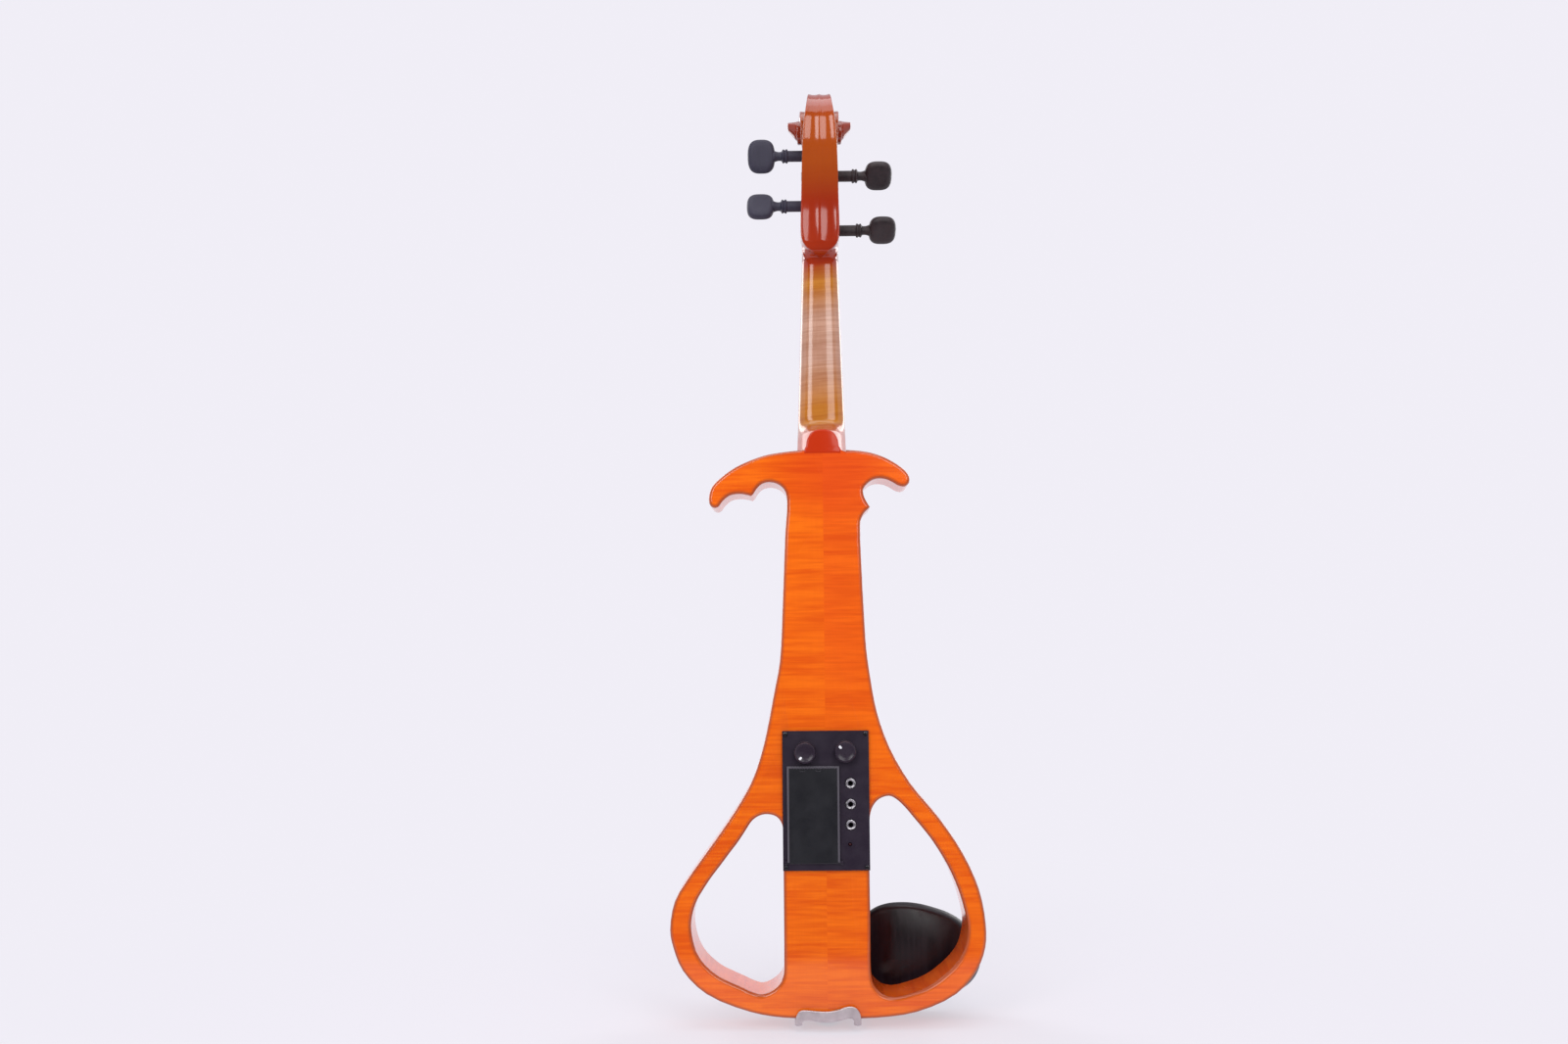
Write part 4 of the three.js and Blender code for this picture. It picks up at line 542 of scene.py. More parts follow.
def turned(profile, place, sides=32, build=None):
    """Spins pairs of radius and height about z, then puts the piece in place."""
    build = build or bmesh.new()
    before = set(build.verts)
    points = [build.verts.new((radius, 0.0, height)) for radius, height in profile]
    edges = [build.edges.new(pair) for pair in zip(points, points[1:])]
    bmesh.ops.spin(build, geom=points + edges, cent=(0, 0, 0), axis=(0, 0, 1), angle=math.tau,
                   steps=sides, use_merge=True, use_duplicate=False)
    verts = [v for v in build.verts if v not in before]
    bmesh.ops.transform(build, matrix=place, verts=verts)
    bmesh.ops.remove_doubles(build, verts=verts, dist=1e-5)
    return build


def slice_at(build, place, normal, drop=False):
    """Cuts a piece through at a plane, and can drop what lies on the side of the normal."""
    bmesh.ops.bisect_plane(build, geom=build.verts[:] + build.edges[:] + build.faces[:], dist=0.001,
                           plane_co=place, plane_no=normal, clear_outer=drop)


def cad_copy(node, angle=0.6):
    """The CAD node's own shape as a merged bmesh, in metres of the frame, with flat faces joined up."""
    build = bmesh.new()
    build.from_mesh(nodes[node].data)
    bmesh.ops.remove_doubles(build, verts=build.verts, dist=2e-6)
    bmesh.ops.dissolve_limit(build, angle_limit=math.radians(angle), verts=build.verts, edges=build.edges)
    return build


def soften(build, width, sharp=35.0, rounds=3, wanted=None, mark=None, clamped=True):
    """Breaks the sharp edges with a bevel and can mark the new faces for the finish."""
    layer = build.loops.layers.float.new(mark) if mark else None
    edges = [e for e in build.edges if len(e.link_faces) == 2
             and e.calc_face_angle(0.0) > math.radians(sharp) and (wanted is None or wanted(e))]
    faces = bmesh.ops.bevel(build, geom=edges, offset=width, offset_type="OFFSET", affect="EDGES",
                            segments=rounds, profile=0.5, clamp_overlap=clamped, material=-1)["faces"]
    # The mark grows as a bevel face turns away from the flat faces, for painted edge shade and sheen.
    for face in faces if mark else []:
        face.normal_update()
        for corner in face.loops:
            corner[layer] = min(4.0 * (1.0 - abs(face.normal.y)) + 0.25, 1.0)
    return build


def flat_normals(piece):
    """Keeps the broad faces of a bevelled piece looking flat."""
    piece.modifiers.new("flat_faces", "WEIGHTED_NORMAL").keep_sharp = True
    return piece


def dressed(node, material, width=0.0003, rounds=2):
    build = soften(cad_copy(node), width, rounds=rounds)
    return flat_normals(finish_piece(node + "_finished", build, material, node, in_frame=True))


# %% [markdown]
# Strings, silk, gut and leads are tubes drawn along a path. Flat sawn or stamped pieces are drawn as a filled
# curve, given their thickness and a small round on every edge, and made a mesh at once.

# %% Tools for tubes and plates
FLAT = Matrix.Rotation(math.pi / 2, 4, "X")


def at(x, y, z):
    """Place of a part whose own z points out of the violin's back."""
    return Matrix.Translation((x, y, z)) @ FLAT


def headings(path):
    """Direction of travel at every point of a path."""
    last = len(path) - 1
    return [(path[min(k + 1, last)] - path[max(k - 1, 0)]).normalized() for k in range(len(path))]


def tube(path, radius, sides=12, build=None):
    """Round tube along a list of points, with rings that don't twist."""
    path = [Vector(p) for p in path]
    heads = headings(path)
    across = heads[0].orthogonal().normalized()
    rings = []
    for k, (point, ahead) in enumerate(zip(path, heads)):
        across = (across - across.dot(ahead) * ahead).normalized()
        other = ahead.cross(across)
        size = radius[k] if isinstance(radius, list) else radius
        rings.append([point + size * (math.cos(a) * across + math.sin(a) * other)
                      for a in stations(0, math.tau * (1 - 1 / sides), sides)])
    return sweep(rings, build)


def rounded_path(corners, radius, steps=4):
    """Path through corners, each replaced by a short bend."""
    points = [Vector(c) for c in corners]
    path = [points[0]]
    for before, corner, after in zip(points, points[1:], points[2:]):
        room = min(radius, (corner - before).length * 0.45, (after - corner).length * 0.45)
        start = corner + (before - corner).normalized() * room
        end = corner + (after - corner).normalized() * room
        path += [(1 - t)**2 * start + 2 * t * (1 - t) * corner + t**2 * end
                 for t in stations(0, 1, steps + 1)]
    return path + [points[-1]]


def plate(loops, thickness, edge=0.25, rounds=2):
    """Flat plate with holes, drawn as a filled curve in x and y and made a mesh, with rounded edges."""
    drawing = bpy.data.curves.new("plate_drawing", "CURVE")
    drawing.dimensions, drawing.fill_mode = "2D", "BOTH"
    for points in loops:
        spline = drawing.splines.new("POLY")
        spline.points.add(len(points) - 1)
        for place, (x, y) in zip(spline.points, points):
            place.co = (x, y, 0.0, 1.0)
        spline.use_cyclic_u = True
    drawing.extrude, drawing.bevel_depth = thickness / 2 - edge, edge
    drawing.bevel_resolution, drawing.offset = rounds, -edge
    holder = bpy.data.objects.new("plate_drawing", drawing)
    scene.collection.objects.link(holder)
    mesh = bpy.data.meshes.new_from_object(holder.evaluated_get(bpy.context.evaluated_depsgraph_get()))
    build = bmesh.new()
    build.from_mesh(mesh)
    bmesh.ops.remove_doubles(build, verts=build.verts, dist=1e-4)
    bpy.data.objects.remove(holder)
    bpy.data.curves.remove(drawing)
    bpy.data.meshes.remove(mesh)
    return build


def turns_of(count):
    return [math.tau * k / count for k in range(count)]


def ring_of(radius, height, count, tooth=0.0):
    """Level circle of points; a tooth depth draws every other point in, as on a knurled rim."""
    radii = [max(radius, 0.05), max(radius, 0.05) - tooth] * (count // 2)
    return [(r * math.cos(a), r * math.sin(a), height) for r, a in zip(radii, turns_of(count))]


def smooth_loop(points, rounds=2):
    """Closed outline with its corners cut again and again until it runs smooth."""
    for _ in range(rounds):
        points = [(lerp(a[0], b[0], t), lerp(a[1], b[1], t))
                  for a, b in zip(points, points[1:] + points[:1]) for t in (0.25, 0.75)]
    return points


def thread(radius, low, high, pitch, depth=0.14):
    """Profile of a threaded rod, as pairs of radius and height."""
    count = max(int((high - low) / pitch), 1)
    pairs = [(0.0, low), (radius - 0.35, low)]
    for k in range(count):
        start = lerp(low + 0.3, high - 0.3, k / count)
        pairs += [(radius, start), (radius - depth, start + (high - low - 0.6) / count / 2)]
    return pairs + [(radius, high - 0.3), (radius - 0.35, high), (0.0, high)]


# %% [markdown]
# The body is one board, sawn to its outline and rounded over with a router bit. Drawing it again would only
# copy the CAD outline, so its CAD node is dressed: the long edges of the back and the front get the round,
# and the pocket of the preamplifier, the neck joint and the small seats keep their sharp edges. The four
# screw holes lie under the corners of the panel and would cut into the round, so they are closed first.

# %% Body frame
BACK, FRONT = BACK_PLACE, BACK_PLACE + 0.038
SCREW_X, SCREW_HEIGHTS, SCREW_HOLE = 25.25, (-384.01, -466.71), 1.3
SEAT = BRIDGE / 1000 + BOTTOM_PLACE
SHARP_ZONES = {
    # half-width, low end and high end, in metres: on the back the pocket and the neck joint
    BACK: [(0.0264, -0.469, -0.382), (0.0128, -0.2165, 0.0)],
    # on the front the bridge's seat, the saddle, the neck joint and the hole for the lead
    FRONT: [(0.0218, SEAT - 0.0035, SEAT + 0.0035), (0.0108, -1.0, -0.5525), (0.0125, -0.2165, 0.0),
            (0.002, -0.41, -0.38)],
}


def on_outline(edge):
    """Tells an edge of the outline from the rims of the pocket, the joint and the seats."""
    a, b = (v.co for v in edge.verts)
    x, z = abs((a.x + b.x) / 2), (a.z + b.z) / 2
    for level, zones in SHARP_ZONES.items():
        if max(abs(a.y - level), abs(b.y - level)) < 1e-5:
            return not any(x < half and low < z < high for half, low, high in zones)
    return False


build = cad_copy("body_frame", 0.4)
for z in SCREW_HEIGHTS:
    for x in (-SCREW_X, SCREW_X):
        hole = [v for v in build.verts if math.hypot(v.co.x * 1000 - x, v.co.z * 1000 - z) < SCREW_HOLE]
        bmesh.ops.pointmerge(build, verts=hole, merge_co=Vector((x * 0.00086, BACK, z / 1000)))
soften(build, 0.0024, 50.0, 4, on_outline, "rubbed_edge", False)
body = flat_normals(finish_piece("body_frame_finished", build, maple.material, "body_frame", 38.0, True))
print("body faces", len(body.data.polygons))

# %% [markdown]
# A fingerboard is planed from one stick: an arched top, straight sides, and a hollow under its free end that
# saves weight. A sweep along its length gives the arch, the widening and the hollow in one skin.

# %% Fingerboard, nut and saddle
BOARD_LENGTH = (NUT - BRIDGE) * 0.831
BOARD_END = NUT - BOARD_LENGTH
BOARD_AT_NUT, BOARD_PITCH, BOARD_ARCH, BOARD_WALL = 40.1, math.radians(4.5), 42.0, 5.0
HALF_AT_NUT, HALF_AT_END, BOARD_HOLLOW = 12.0, 21.0, 4.2


def arch_drop(x, radius=BOARD_ARCH):
    return radius - math.sqrt(radius * radius - x * x)


def board_top(z):
    return BOARD_AT_NUT + (NUT - z) * math.tan(BOARD_PITCH)


def board_half(z):
    return lerp(HALF_AT_NUT, HALF_AT_END, (NUT - z) / BOARD_LENGTH)


UNDER_NUT, UNDER_END = (board_top(z) - arch_drop(board_half(z)) - BOARD_WALL for z in (NUT, BOARD_END))


def board_under(z):
    return lerp(UNDER_NUT, UNDER_END, (NUT - z) / BOARD_LENGTH)


def board_ring(z, shrink=0.0):
    half, under = board_half(z) - shrink, board_under(z) + shrink
    hollow = BOARD_HOLLOW * clamp((BODY_LENGTH + 12 - z) / 70)
    ring = [(x, under + hollow * (1 - (x / half) ** 2) ** 1.5, z)
            for x in stations(-half + 0.5, half - 0.5, 13)]
    ring.append((half, under + 0.5, z))
    for x in stations(half, -half, 25):
        edge = 0.35 if abs(x) == half else 0.0
        ring.append((x, board_top(z) - arch_drop(x) - edge - shrink, z))
    ring.append((-half, under + 0.5, z))
    return ring


rings = [board_ring(BOARD_END, 0.5), board_ring(BOARD_END + 0.5)]
rings += [board_ring(z) for z in stations(BOARD_END + 8, NUT - 0.3, 24)]
board = finish_piece("fingerboard_planed", sweep(rings), ebony, "fingerboard", 34.0)
for node in ("nut", "saddle"):
    dressed(node, ebony, 0.0007, 3)
print("fingerboard faces", len(board.data.polygons))

# %% [markdown]
# The neck is carved to a rounded handle that flares into the heel, where it stands on the body. The same
# sweep with a rounded ring gives both, a little squarer along the handle and rounder at the heel. The
# button, which shows as a dark dome above the body, is a small plate set on the end of the heel.

# %% Neck and heel
NECK_ROOT = BODY_LENGTH + 0.3
HEEL_END = NECK_ROOT + 24.0
BUTTON_HALF, BUTTON_TOP, BUTTON_THICK = 10.4, 369.4, 6.4
HANDLE_POWER, HEEL_POWER = 0.64, 0.95
BACK_AT_NUT, BACK_AT_HEEL = BOARD_AT_NUT - 19.0, board_top(HEEL_END) - 21.0
THROAT = [(-6.0, 0.0), (-4.0, 0.15), (-2.0, 0.7), (0.0, 1.8), (1.6, 3.6), (2.8, 6.0), (3.8, 8.6), (4.6, 10.2)]


def rounded(value, power):
    """Power of a sine or cosine that keeps its sign, for a ring between round and square."""
    return math.copysign(abs(value) ** power, value)


def neck_ring(z):
    if z < HEEL_END:
        drop = min((HEEL_END - z) / (HEEL_END - BUTTON_TOP + 0.4), 1.0)
        back = lerp(BACK_AT_HEEL, 0.8, drop ** 2.4)
        heel = drop ** 1.5
    else:
        back, heel = lerp(BACK_AT_HEEL, BACK_AT_NUT, min((z - HEEL_END) / (NUT - 6 - HEEL_END), 1.0)), 0.0
        back -= along(THROAT, z - NUT)
    half, front = board_half(z), board_under(z) - 0.15
    power = lerp(HANDLE_POWER, HEEL_POWER, heel)
    ring = []
    for turn in stations(0.0, math.pi, 33):
        across, deep = rounded(math.cos(turn), power), math.sin(turn) ** power
        ring.append((half * across * (1 - 0.25 * heel * deep), front - (front - back) * deep, z))
    return ring + [(lerp(-half, half, k / 6), front, z) for k in range(1, 6)]


heights = stations(NECK_ROOT, HEEL_END, 26) + stations(HEEL_END + 4, NUT - 6.0, 20)
heights += stations(NUT - 5.0, NUT + 4.6, 20)
build = sweep([neck_ring(z) for z in heights])
neck = finish_piece("neck_carved", build, wood.material, "neck", 60.0)

crown = BUTTON_TOP - NECK_ROOT - 2.4
dome = [(x, NECK_ROOT + up) for x, up in ((12.0, -3.3), (11.9, -1.0), (11.3, 0.6), (10.6, 1.6))]
dome += [(BUTTON_HALF * math.cos(a) ** 0.8, BUTTON_TOP - crown + crown * math.sin(a))
         for a in stations(0.08, math.pi / 2 - 0.08, 13)]
dome += [(0.0, BUTTON_TOP)] + [(-x, z) for x, z in reversed(dome)]
build = plate([dome], BUTTON_THICK, 1.2, 4)
stain_mark = build.verts.layers.float.new("deep_stain")
for vert in build.verts:
    vert[stain_mark] = 1.0
finish_piece("heel_button", move(build, at(0, 2.85, 0)), wood.material, "neck")
print("neck faces", len(neck.data.polygons))

# %% [markdown]
# The head carries the pegbox, a trough with two cheeks, and the scroll, a strip that winds round the eye
# two and a half times while it narrows and steps outwards. Real makers saw the outline, cut the turns in
# steps and hollow the back with gouges. Here one ring is pushed up the pegbox and on round the eye. Its
# back is fluted, and where the trough ends its inner points close up. Two short sweeps outwards from the
# eye are the cones at its ends.

# %% Pegbox and scroll
EYE_RISE = 81.7
EYE_Y, EYE_Z = 9.0, NUT + EYE_RISE
PEGBOX = [
    # height above the nut, back, half-width, front rim, trough floor, flute depth
    (-0.5, 23.0, 0.8, 32.9, 32.5, 0.0), (0.4, 17.6, 1.4, 32.9, 32.4, 0.0),
    (0.9, 13.4, 3.0, 32.9, 32.3, 0.0), (1.7, 11.2, 4.9, 32.9, 32.3, 0.0),
    (2.7, 10.1, 6.7, 32.9, 32.3, 0.0), (4.2, 9.3, 8.8, 32.9, 32.3, 0.05),
    (5.8, 8.8, 10.3, 32.8, 32.2, 0.15), (7.6, 8.3, 11.4, 32.7, 32.1, 0.3),
    (8.5, 8.0, 11.8, 32.6, 32.0, 0.4), (8.8, 7.95, 11.9, 32.6, 17.5, 0.45),
    (10.5, 7.7, 12.4, 32.5, 15.4, 0.35), (13.5, 7.35, 12.75, 32.3, 13.4, 0.6),
    (19.0, 6.7, 12.8, 31.4, 12.0, 0.8), (25.5, 5.9, 12.65, 30.2, 10.8, 0.85),
    (32.0, 4.9, 12.4, 28.8, 9.6, 0.85), (38.5, 3.0, 12.2, 27.4, 8.2, 0.85),
    (44.5, 0.6, 12.05, 26.1, 7.0, 0.85), (50.5, -2.2, 11.9, 24.8, 6.4, 0.85),
    (57.0, -5.3, 11.65, 23.7, 6.0, 0.85), (63.0, -8.1, 11.4, 22.8, 5.8, 0.85),
    (67.5, -9.8, 11.25, 22.1, 5.8, 0.85), (70.5, -10.55, 11.1, 20.6, 6.0, 0.85),
    (73.0, -11.0, 10.9, 17.5, 7.0, 0.85), (75.7, -11.35, 10.75, 12.0, 8.5, 0.85),
    (78.7, -11.5, 10.5, 4.0, 3.0, 0.85),
]
VOLUTE = [
    # turn in degrees, outer radius, half-width, rise of the centre, flute depth
    (0, 20.5, 10.2, 0.0, 0.85), (22, 20.9, 9.2, 0.0, 0.8), (45, 22.0, 8.2, 0.0, 0.75),
    (75, 23.9, 7.3, 0.0, 0.6), (95, 24.5, 6.9, 0.0, 0.5), (125, 23.4, 7.1, 0.0, 0.5),
    (155, 21.4, 7.7, 0.0, 0.5), (180, 19.6, 8.4, 0.0, 0.5), (225, 17.3, 9.6, 0.0, 0.5),
    (270, 15.1, 10.9, 0.0, 0.45), (315, 13.9, 11.9, 0.0, 0.4), (360, 13.2, 12.4, 0.0, 0.3),
    (450, 12.5, 13.0, 0.1, 0.25), (540, 10.6, 13.9, 0.2, 0.2), (630, 8.4, 14.5, 0.2, 0.1),
    (720, 6.9, 15.0, 0.2, 0.0), (880, 5.6, 15.4, 0.2, 0.0),
]
LAST_TURN = VOLUTE[-1][0]
EAR = [
    # distance from the middle, radius, rise of the centre
    (13.0, 6.6, 0.0), (15.0, 6.1, 0.1), (16.6, 5.0, 1.0), (18.4, 3.9, 2.0), (20.0, 2.9, 2.9),
    (20.4, 2.65, 3.1), (20.7, 2.2, 3.1),
]


def fluted(half, depth, corner):
    """Pairs of x and inward depth from the middle ridge to the rounded corner."""
    flat = half - corner
    turns = [math.pi / 2 * k / 3 for k in (1, 2, 3)]
    return ([(flat * share, depth * 4 * share * (1 - share)) for share in stations(0, 1, 9)]
            + [(flat + corner * math.sin(a), corner * (1 - math.cos(a))) for a in turns])


def mirrored(right):
    return right + [(-x, other) for x, other in reversed(right[1:-1])]


def pegbox_ring(up, back, half, rim, floor, depth):
    corner = min(0.9, half * 0.4)
    outer = [(x, back + inward) for x, inward in fluted(half, depth, corner)]
    front_half = 12.0 if up < 13 else half
    shoulder = min(21.0, rim - 1) if up < 13 else lerp(back, rim, 0.5)
    wall = [(half, lerp(back + corner, shoulder, 0.35)), (half, lerp(back + corner, shoulder, 0.75)),
            (lerp(half, front_half, 0.85), shoulder), (front_half, lerp(shoulder, rim, 0.5)),
            (front_half, rim - 0.8), (front_half - 0.25, rim - 0.25), (front_half - 0.8, rim)]
    thin = min(lerp(8.1, 6.7, up / EYE_RISE) + 0.5, half - 1.5)
    hollow = [(thin, rim), (thin - 0.5, rim - 0.5 if rim - floor > 1.5 else rim - 0.1),
              (thin - 0.5, floor + min(1.5, (rim - floor) * 0.5)), (thin - 1.6, floor + 0.1), (0.0, floor)]
    return [(x, y, NUT + up) for x, y in mirrored(outer + wall + hollow)]


def volute_ring(degrees):
    radius, half, rise, depth = along(VOLUTE, degrees)
    inner = max(along(VOLUTE, min(degrees + 360, LAST_TURN))[0] - 0.9, 0.4) if degrees <= 520 else 0.25
    turn, corner = math.radians(degrees), 0.8
    dish = 0.5 if degrees < 400 else 0.9
    outer = [(x, radius - inward) for x, inward in fluted(half, depth, corner)]
    wall = [(half - dish * math.sin(math.pi * s), lerp(radius - corner, inner, s))
            for s in (0.12, 0.3, 0.5, 0.68, 0.84, 0.93, 1.0)]
    hollow = [(half * f, inner) for f in (0.9, 0.7, 0.45, 0.2, 0.0)]
    return [(x, EYE_Y - r * math.cos(turn), EYE_Z + rise + r * math.sin(turn))
            for x, r in mirrored(outer + wall + hollow)]


rings = [pegbox_ring(*row) for row in PEGBOX]
rings += [volute_ring(5.0 * k) for k in range(LAST_TURN // 5 + 1)]
build = sweep(rings)
for side in (-1, 1):
    turns = stations(0.0, math.tau * 35 / 36, 36)
    sweep([[(side * x, EYE_Y - radius * math.cos(a), EYE_Z + rise + radius * math.sin(a)) for a in turns]
           for x, radius, rise in EAR], build)
head = finish_piece("pegbox_and_scroll", build, wood.material, "neck", 42.0)
print("head faces", len(head.data.polygons))

# %% [markdown]
# Pegs are turned from ebony, with a slight taper that holds by friction. The head is then filed flat and
# dished on both sides for the fingers. The lathe part is a spun profile; the head is a stack of rounded
# rings whose middle is hollowed. Strings, windings and the tailgut are tubes drawn along their paths.

# %% Pegs
STRINGS = [
    # string, height share, side, turn in degrees, pulled out, diameter, turns, half-width of the cheek
    ("g", 0.221, 1, 58.0, 2.0, 0.8, 2.5, 12.7), ("d", 0.654, 1, 56.0, -0.5, 0.75, 2.5, 12.0),
    ("a", 0.817, -1, 12.0, -0.9, 0.65, 3.0, 11.5), ("e", 0.419, -1, -33.0, 0.0, 0.4, 3.0, 12.4),
]
PEG_RADIUS, PEG_HEAD_WIDE, PEG_HEAD_DEEP, PEG_HEAD_RISE = 3.6, 11.0, 4.7, 39.2


def peg_centre(rise):
    return 22.8 - 8.8 * rise / 0.817, NUT + EYE_RISE * rise


def peg_profile(tip):
    return [(0.0, tip), (2.7, tip), (3.2, tip + 0.5), (PEG_RADIUS, tip + 4.7), (PEG_RADIUS, 21.7),
            (4.2, 21.8), (4.6, 22.2), (4.62, 22.8), (4.3, 23.2), (4.05, 23.4), (4.05, 23.9), (4.3, 24.1),
            (4.6, 24.5), (4.5, 25.0), (3.7, 25.5), (3.05, 25.9), (2.85, 27.0), (2.95, 28.4), (3.3, 29.6),
            (3.75, 30.6), (3.6, 31.6), (0.0, 32.4)]


def head_ring(share, count=44):
    """Ring across a peg's head: wide and flat, with a hollow for thumb and finger."""
    wide = PEG_HEAD_WIDE * (1 - abs(share) ** 2.9) ** (1 / 2.9)
    deep = PEG_HEAD_DEEP * (1 - abs(share) ** 3.4) ** (1 / 2.4)
    dish = 0.3 * max(0.0, 1 - (share / 0.82) ** 2)
    ring = []
    for turn in turns_of(count):
        b, a = wide * rounded(math.cos(turn), 0.82), deep * rounded(math.sin(turn), 0.82)
        ring.append((a * (1 - dish * (1 - (b / wide) ** 2)), b, PEG_HEAD_RISE + 9.0 * share))
    return ring


for string, rise, side, degrees, pulled, gauge, turns, cheek in STRINGS:
    lie = Matrix.Translation((side * pulled, *peg_centre(rise)))
    lie = lie @ Matrix.Rotation(math.radians(degrees), 4, "X")
    lie = lie @ Matrix(((0, 0, side, 0), (1, 0, 0, 0), (0, 1, 0, 0), (0, 0, 0, 1)))
    # Pegs on the left side take the ebony with painted sheen.
    finish = sheen_peg_ebony if side < 0 else warm_peg_ebony
    shank = turned(peg_profile(-0.1 - cheek - pulled), lie, 40)
    finish_piece("peg_shank_" + string, shank, finish, "peg_" + string, 30.0)
    grip = move(sweep([head_ring(math.sin(a)) for a in stations(-1.5, 1.5, 23)]), lie)
    finish_piece("peg_head_" + string, grip, finish, "peg_" + string, 50.0)
print("pegs", len(STRINGS))

# %% [markdown]
# Each string leaves the nut, meets its peg from above and winds on in even turns towards the cheek. The
# gauges fall from the wound low string to the bare steel one, so each tube has its own diameter. Coloured
# silk covers both ends of every string.

# %% Strings, windings and silk
NUT_TOP, BRIDGE_TOP = 40.6, 71.2
NUT_SPREAD, BRIDGE_SPREAD, TAIL_SPREAD = 16.4, 34.0, 28.0
WINDING_ROOM, OVER_NUT, STRING_LIFT, TURN_STEPS = 6.2, 5.3, 0.12, 24
SILK_WALL, TAIL_SILK, HEAD_SILK = 0.07, (96.0, 124.0), (NUT + 6.2, NUT + 90)
TILT = math.radians(-5.6)
TAIL_FRET = (0.0, 56.0, BRIDGE * 0.669)
BALL = [(0.0, -1.5), (0.95, -1.5), (1.45, -1.2), (1.5, -0.6), (1.1, -0.2), (1.1, 0.2), (1.5, 0.6),
        (1.45, 1.2), (0.95, 1.5), (0.0, 1.5)]
SILKS = {"g": ((66, 40, 92), (88, 60, 118)), "d": ((38, 88, 66), (58, 112, 86)),
         "a": ((32, 66, 122), (54, 90, 148)), "e": ((150, 34, 42), (176, 58, 62))}


def spread_at(index, spread):
    return spread / 2 * (1 - index / 1.5)


def from_tail(x, y, z):
    """Point of the tilted tailpiece in the violin's millimetres."""
    return (x + TAIL_FRET[0], y * math.cos(TILT) - z * math.sin(TILT) + TAIL_FRET[1],
            y * math.sin(TILT) + z * math.cos(TILT) + TAIL_FRET[2])


def between(path, low, high):
    """Part of a path between two heights, for a sleeve that sits on it."""
    points = []
    for a, b in zip(path, path[1:]):
        for t in stations(0, 1, 9):
            point = Vector(a).lerp(Vector(b), t)
            if low <= point.z <= high and (not points or (point - points[-1]).length > 0.2):
                points.append(point)
    return points


for index, (string, rise, side, degrees, pulled, gauge, turns, cheek) in enumerate(STRINGS):
    cy, cz = peg_centre(rise)
    radius, reach, pitch = gauge / 2, PEG_RADIUS + 0.04 + gauge / 2, gauge + 0.5
    nut_x, bridge_x = spread_at(index, NUT_SPREAD), spread_at(index, BRIDGE_SPREAD)
    tail_x = spread_at(index, TAIL_SPREAD)
    nut_y = NUT_TOP - arch_drop(nut_x) + STRING_LIFT + radius
    bridge_y = BRIDGE_TOP - arch_drop(bridge_x) + STRING_LIFT + radius
    ridge_y = 2.0 - arch_drop(tail_x, 60) + 0.3 + radius
    touch_x = side * min(pitch * (turns + 1) - gauge, WINDING_ROOM - radius)
    dy, dz = nut_y - cy, NUT + OVER_NUT - cz
    start = math.atan2(dz, dy) + math.acos(reach / math.hypot(dy, dz))

    def on_peg(x, angle):
        return (x, cy + reach * math.cos(angle), cz + reach * math.sin(angle))

    route = rounded_path([
        from_tail(tail_x, 1.15, -14.1), from_tail(tail_x, ridge_y, 0.0), (bridge_x, bridge_y, BRIDGE),
        (nut_x, nut_y, NUT), (nut_x, nut_y, NUT + OVER_NUT), on_peg(touch_x, start)], 1.6)
    route += [on_peg(touch_x, start + a) for a in stations(0.25, 2.4, 10)]
    finish_piece("string_drawn_" + string, tube(route, radius, 10), string_wire, "string_" + string, 60.0)
    stand = Matrix.Translation(from_tail(tail_x, 1.15, -14.4)) @ Matrix.Rotation(math.pi / 2, 4, "Y")
    finish_piece("string_ball_" + string, turned(BALL, stand, 20), brass, "string_" + string)
    silk = plastic_finish("silk_" + string, *SILKS[string], 0.7, 3000.0)
    head_part = between(route, *HEAD_SILK)
    if rise < 0.3:
        head_part = head_part[:-2]
    for place, part in (("tail", between(route, *TAIL_SILK)), ("head", head_part)):
        sleeve = tube(part, radius + SILK_WALL, 12)
        finish_piece("silk_" + place + "_" + string, sleeve, silk, "string_" + string, 60.0)
    steps = round(turns * TURN_STEPS)
    helix = [on_peg(touch_x - side * pitch * (1 + k / TURN_STEPS), start + math.tau * k / TURN_STEPS)
             for k in range(steps + 1)]
    wound = tube(helix, [radius * (0.55 if k in (0, steps) else 1.0) for k in range(steps + 1)], 10)
    finish_piece("winding_wound_" + string, wound, silk, "winding_" + string, 60.0)
print("strings", len(STRINGS))

# %% [markdown]
# A bridge is cut from quarter-sawn maple, thick at the feet and thin at the crown, with a heart and two
# kidneys sawn out. It is drawn flat with its holes, and every point is then moved in towards the middle plane
# by its height, as planing the blank would do.

# %% Bridge
BRIDGE_BASE, BRIDGE_HALF, BRIDGE_THICK, BRIDGE_THIN, FOOT_SHARE = 38.6, 20.5, 4.2, 1.6, 0.43
SIDE_SHARES = [(1, 0.06), (0.86, 0.13), (0.74, 0.22), (0.7, 0.31), (0.8, 0.42), (0.9, 0.55), (0.93, 0.68),
               (0.92, 0.8)]
ARCH_SHARES = [(0.4, 0.09), (0.28, 0.19), (0.14, 0.24), (0, 0.25)]


def cut_along(shares, count, side=1):
    table = [(k, out, up) for k, (out, up) in enumerate(shares)]
    points = [along(table, t) for t in stations(0, len(shares) - 1, count)]
    return [(side * BRIDGE_HALF * out, lerp(BRIDGE_BASE, BRIDGE_TOP, up)) for out, up in points]


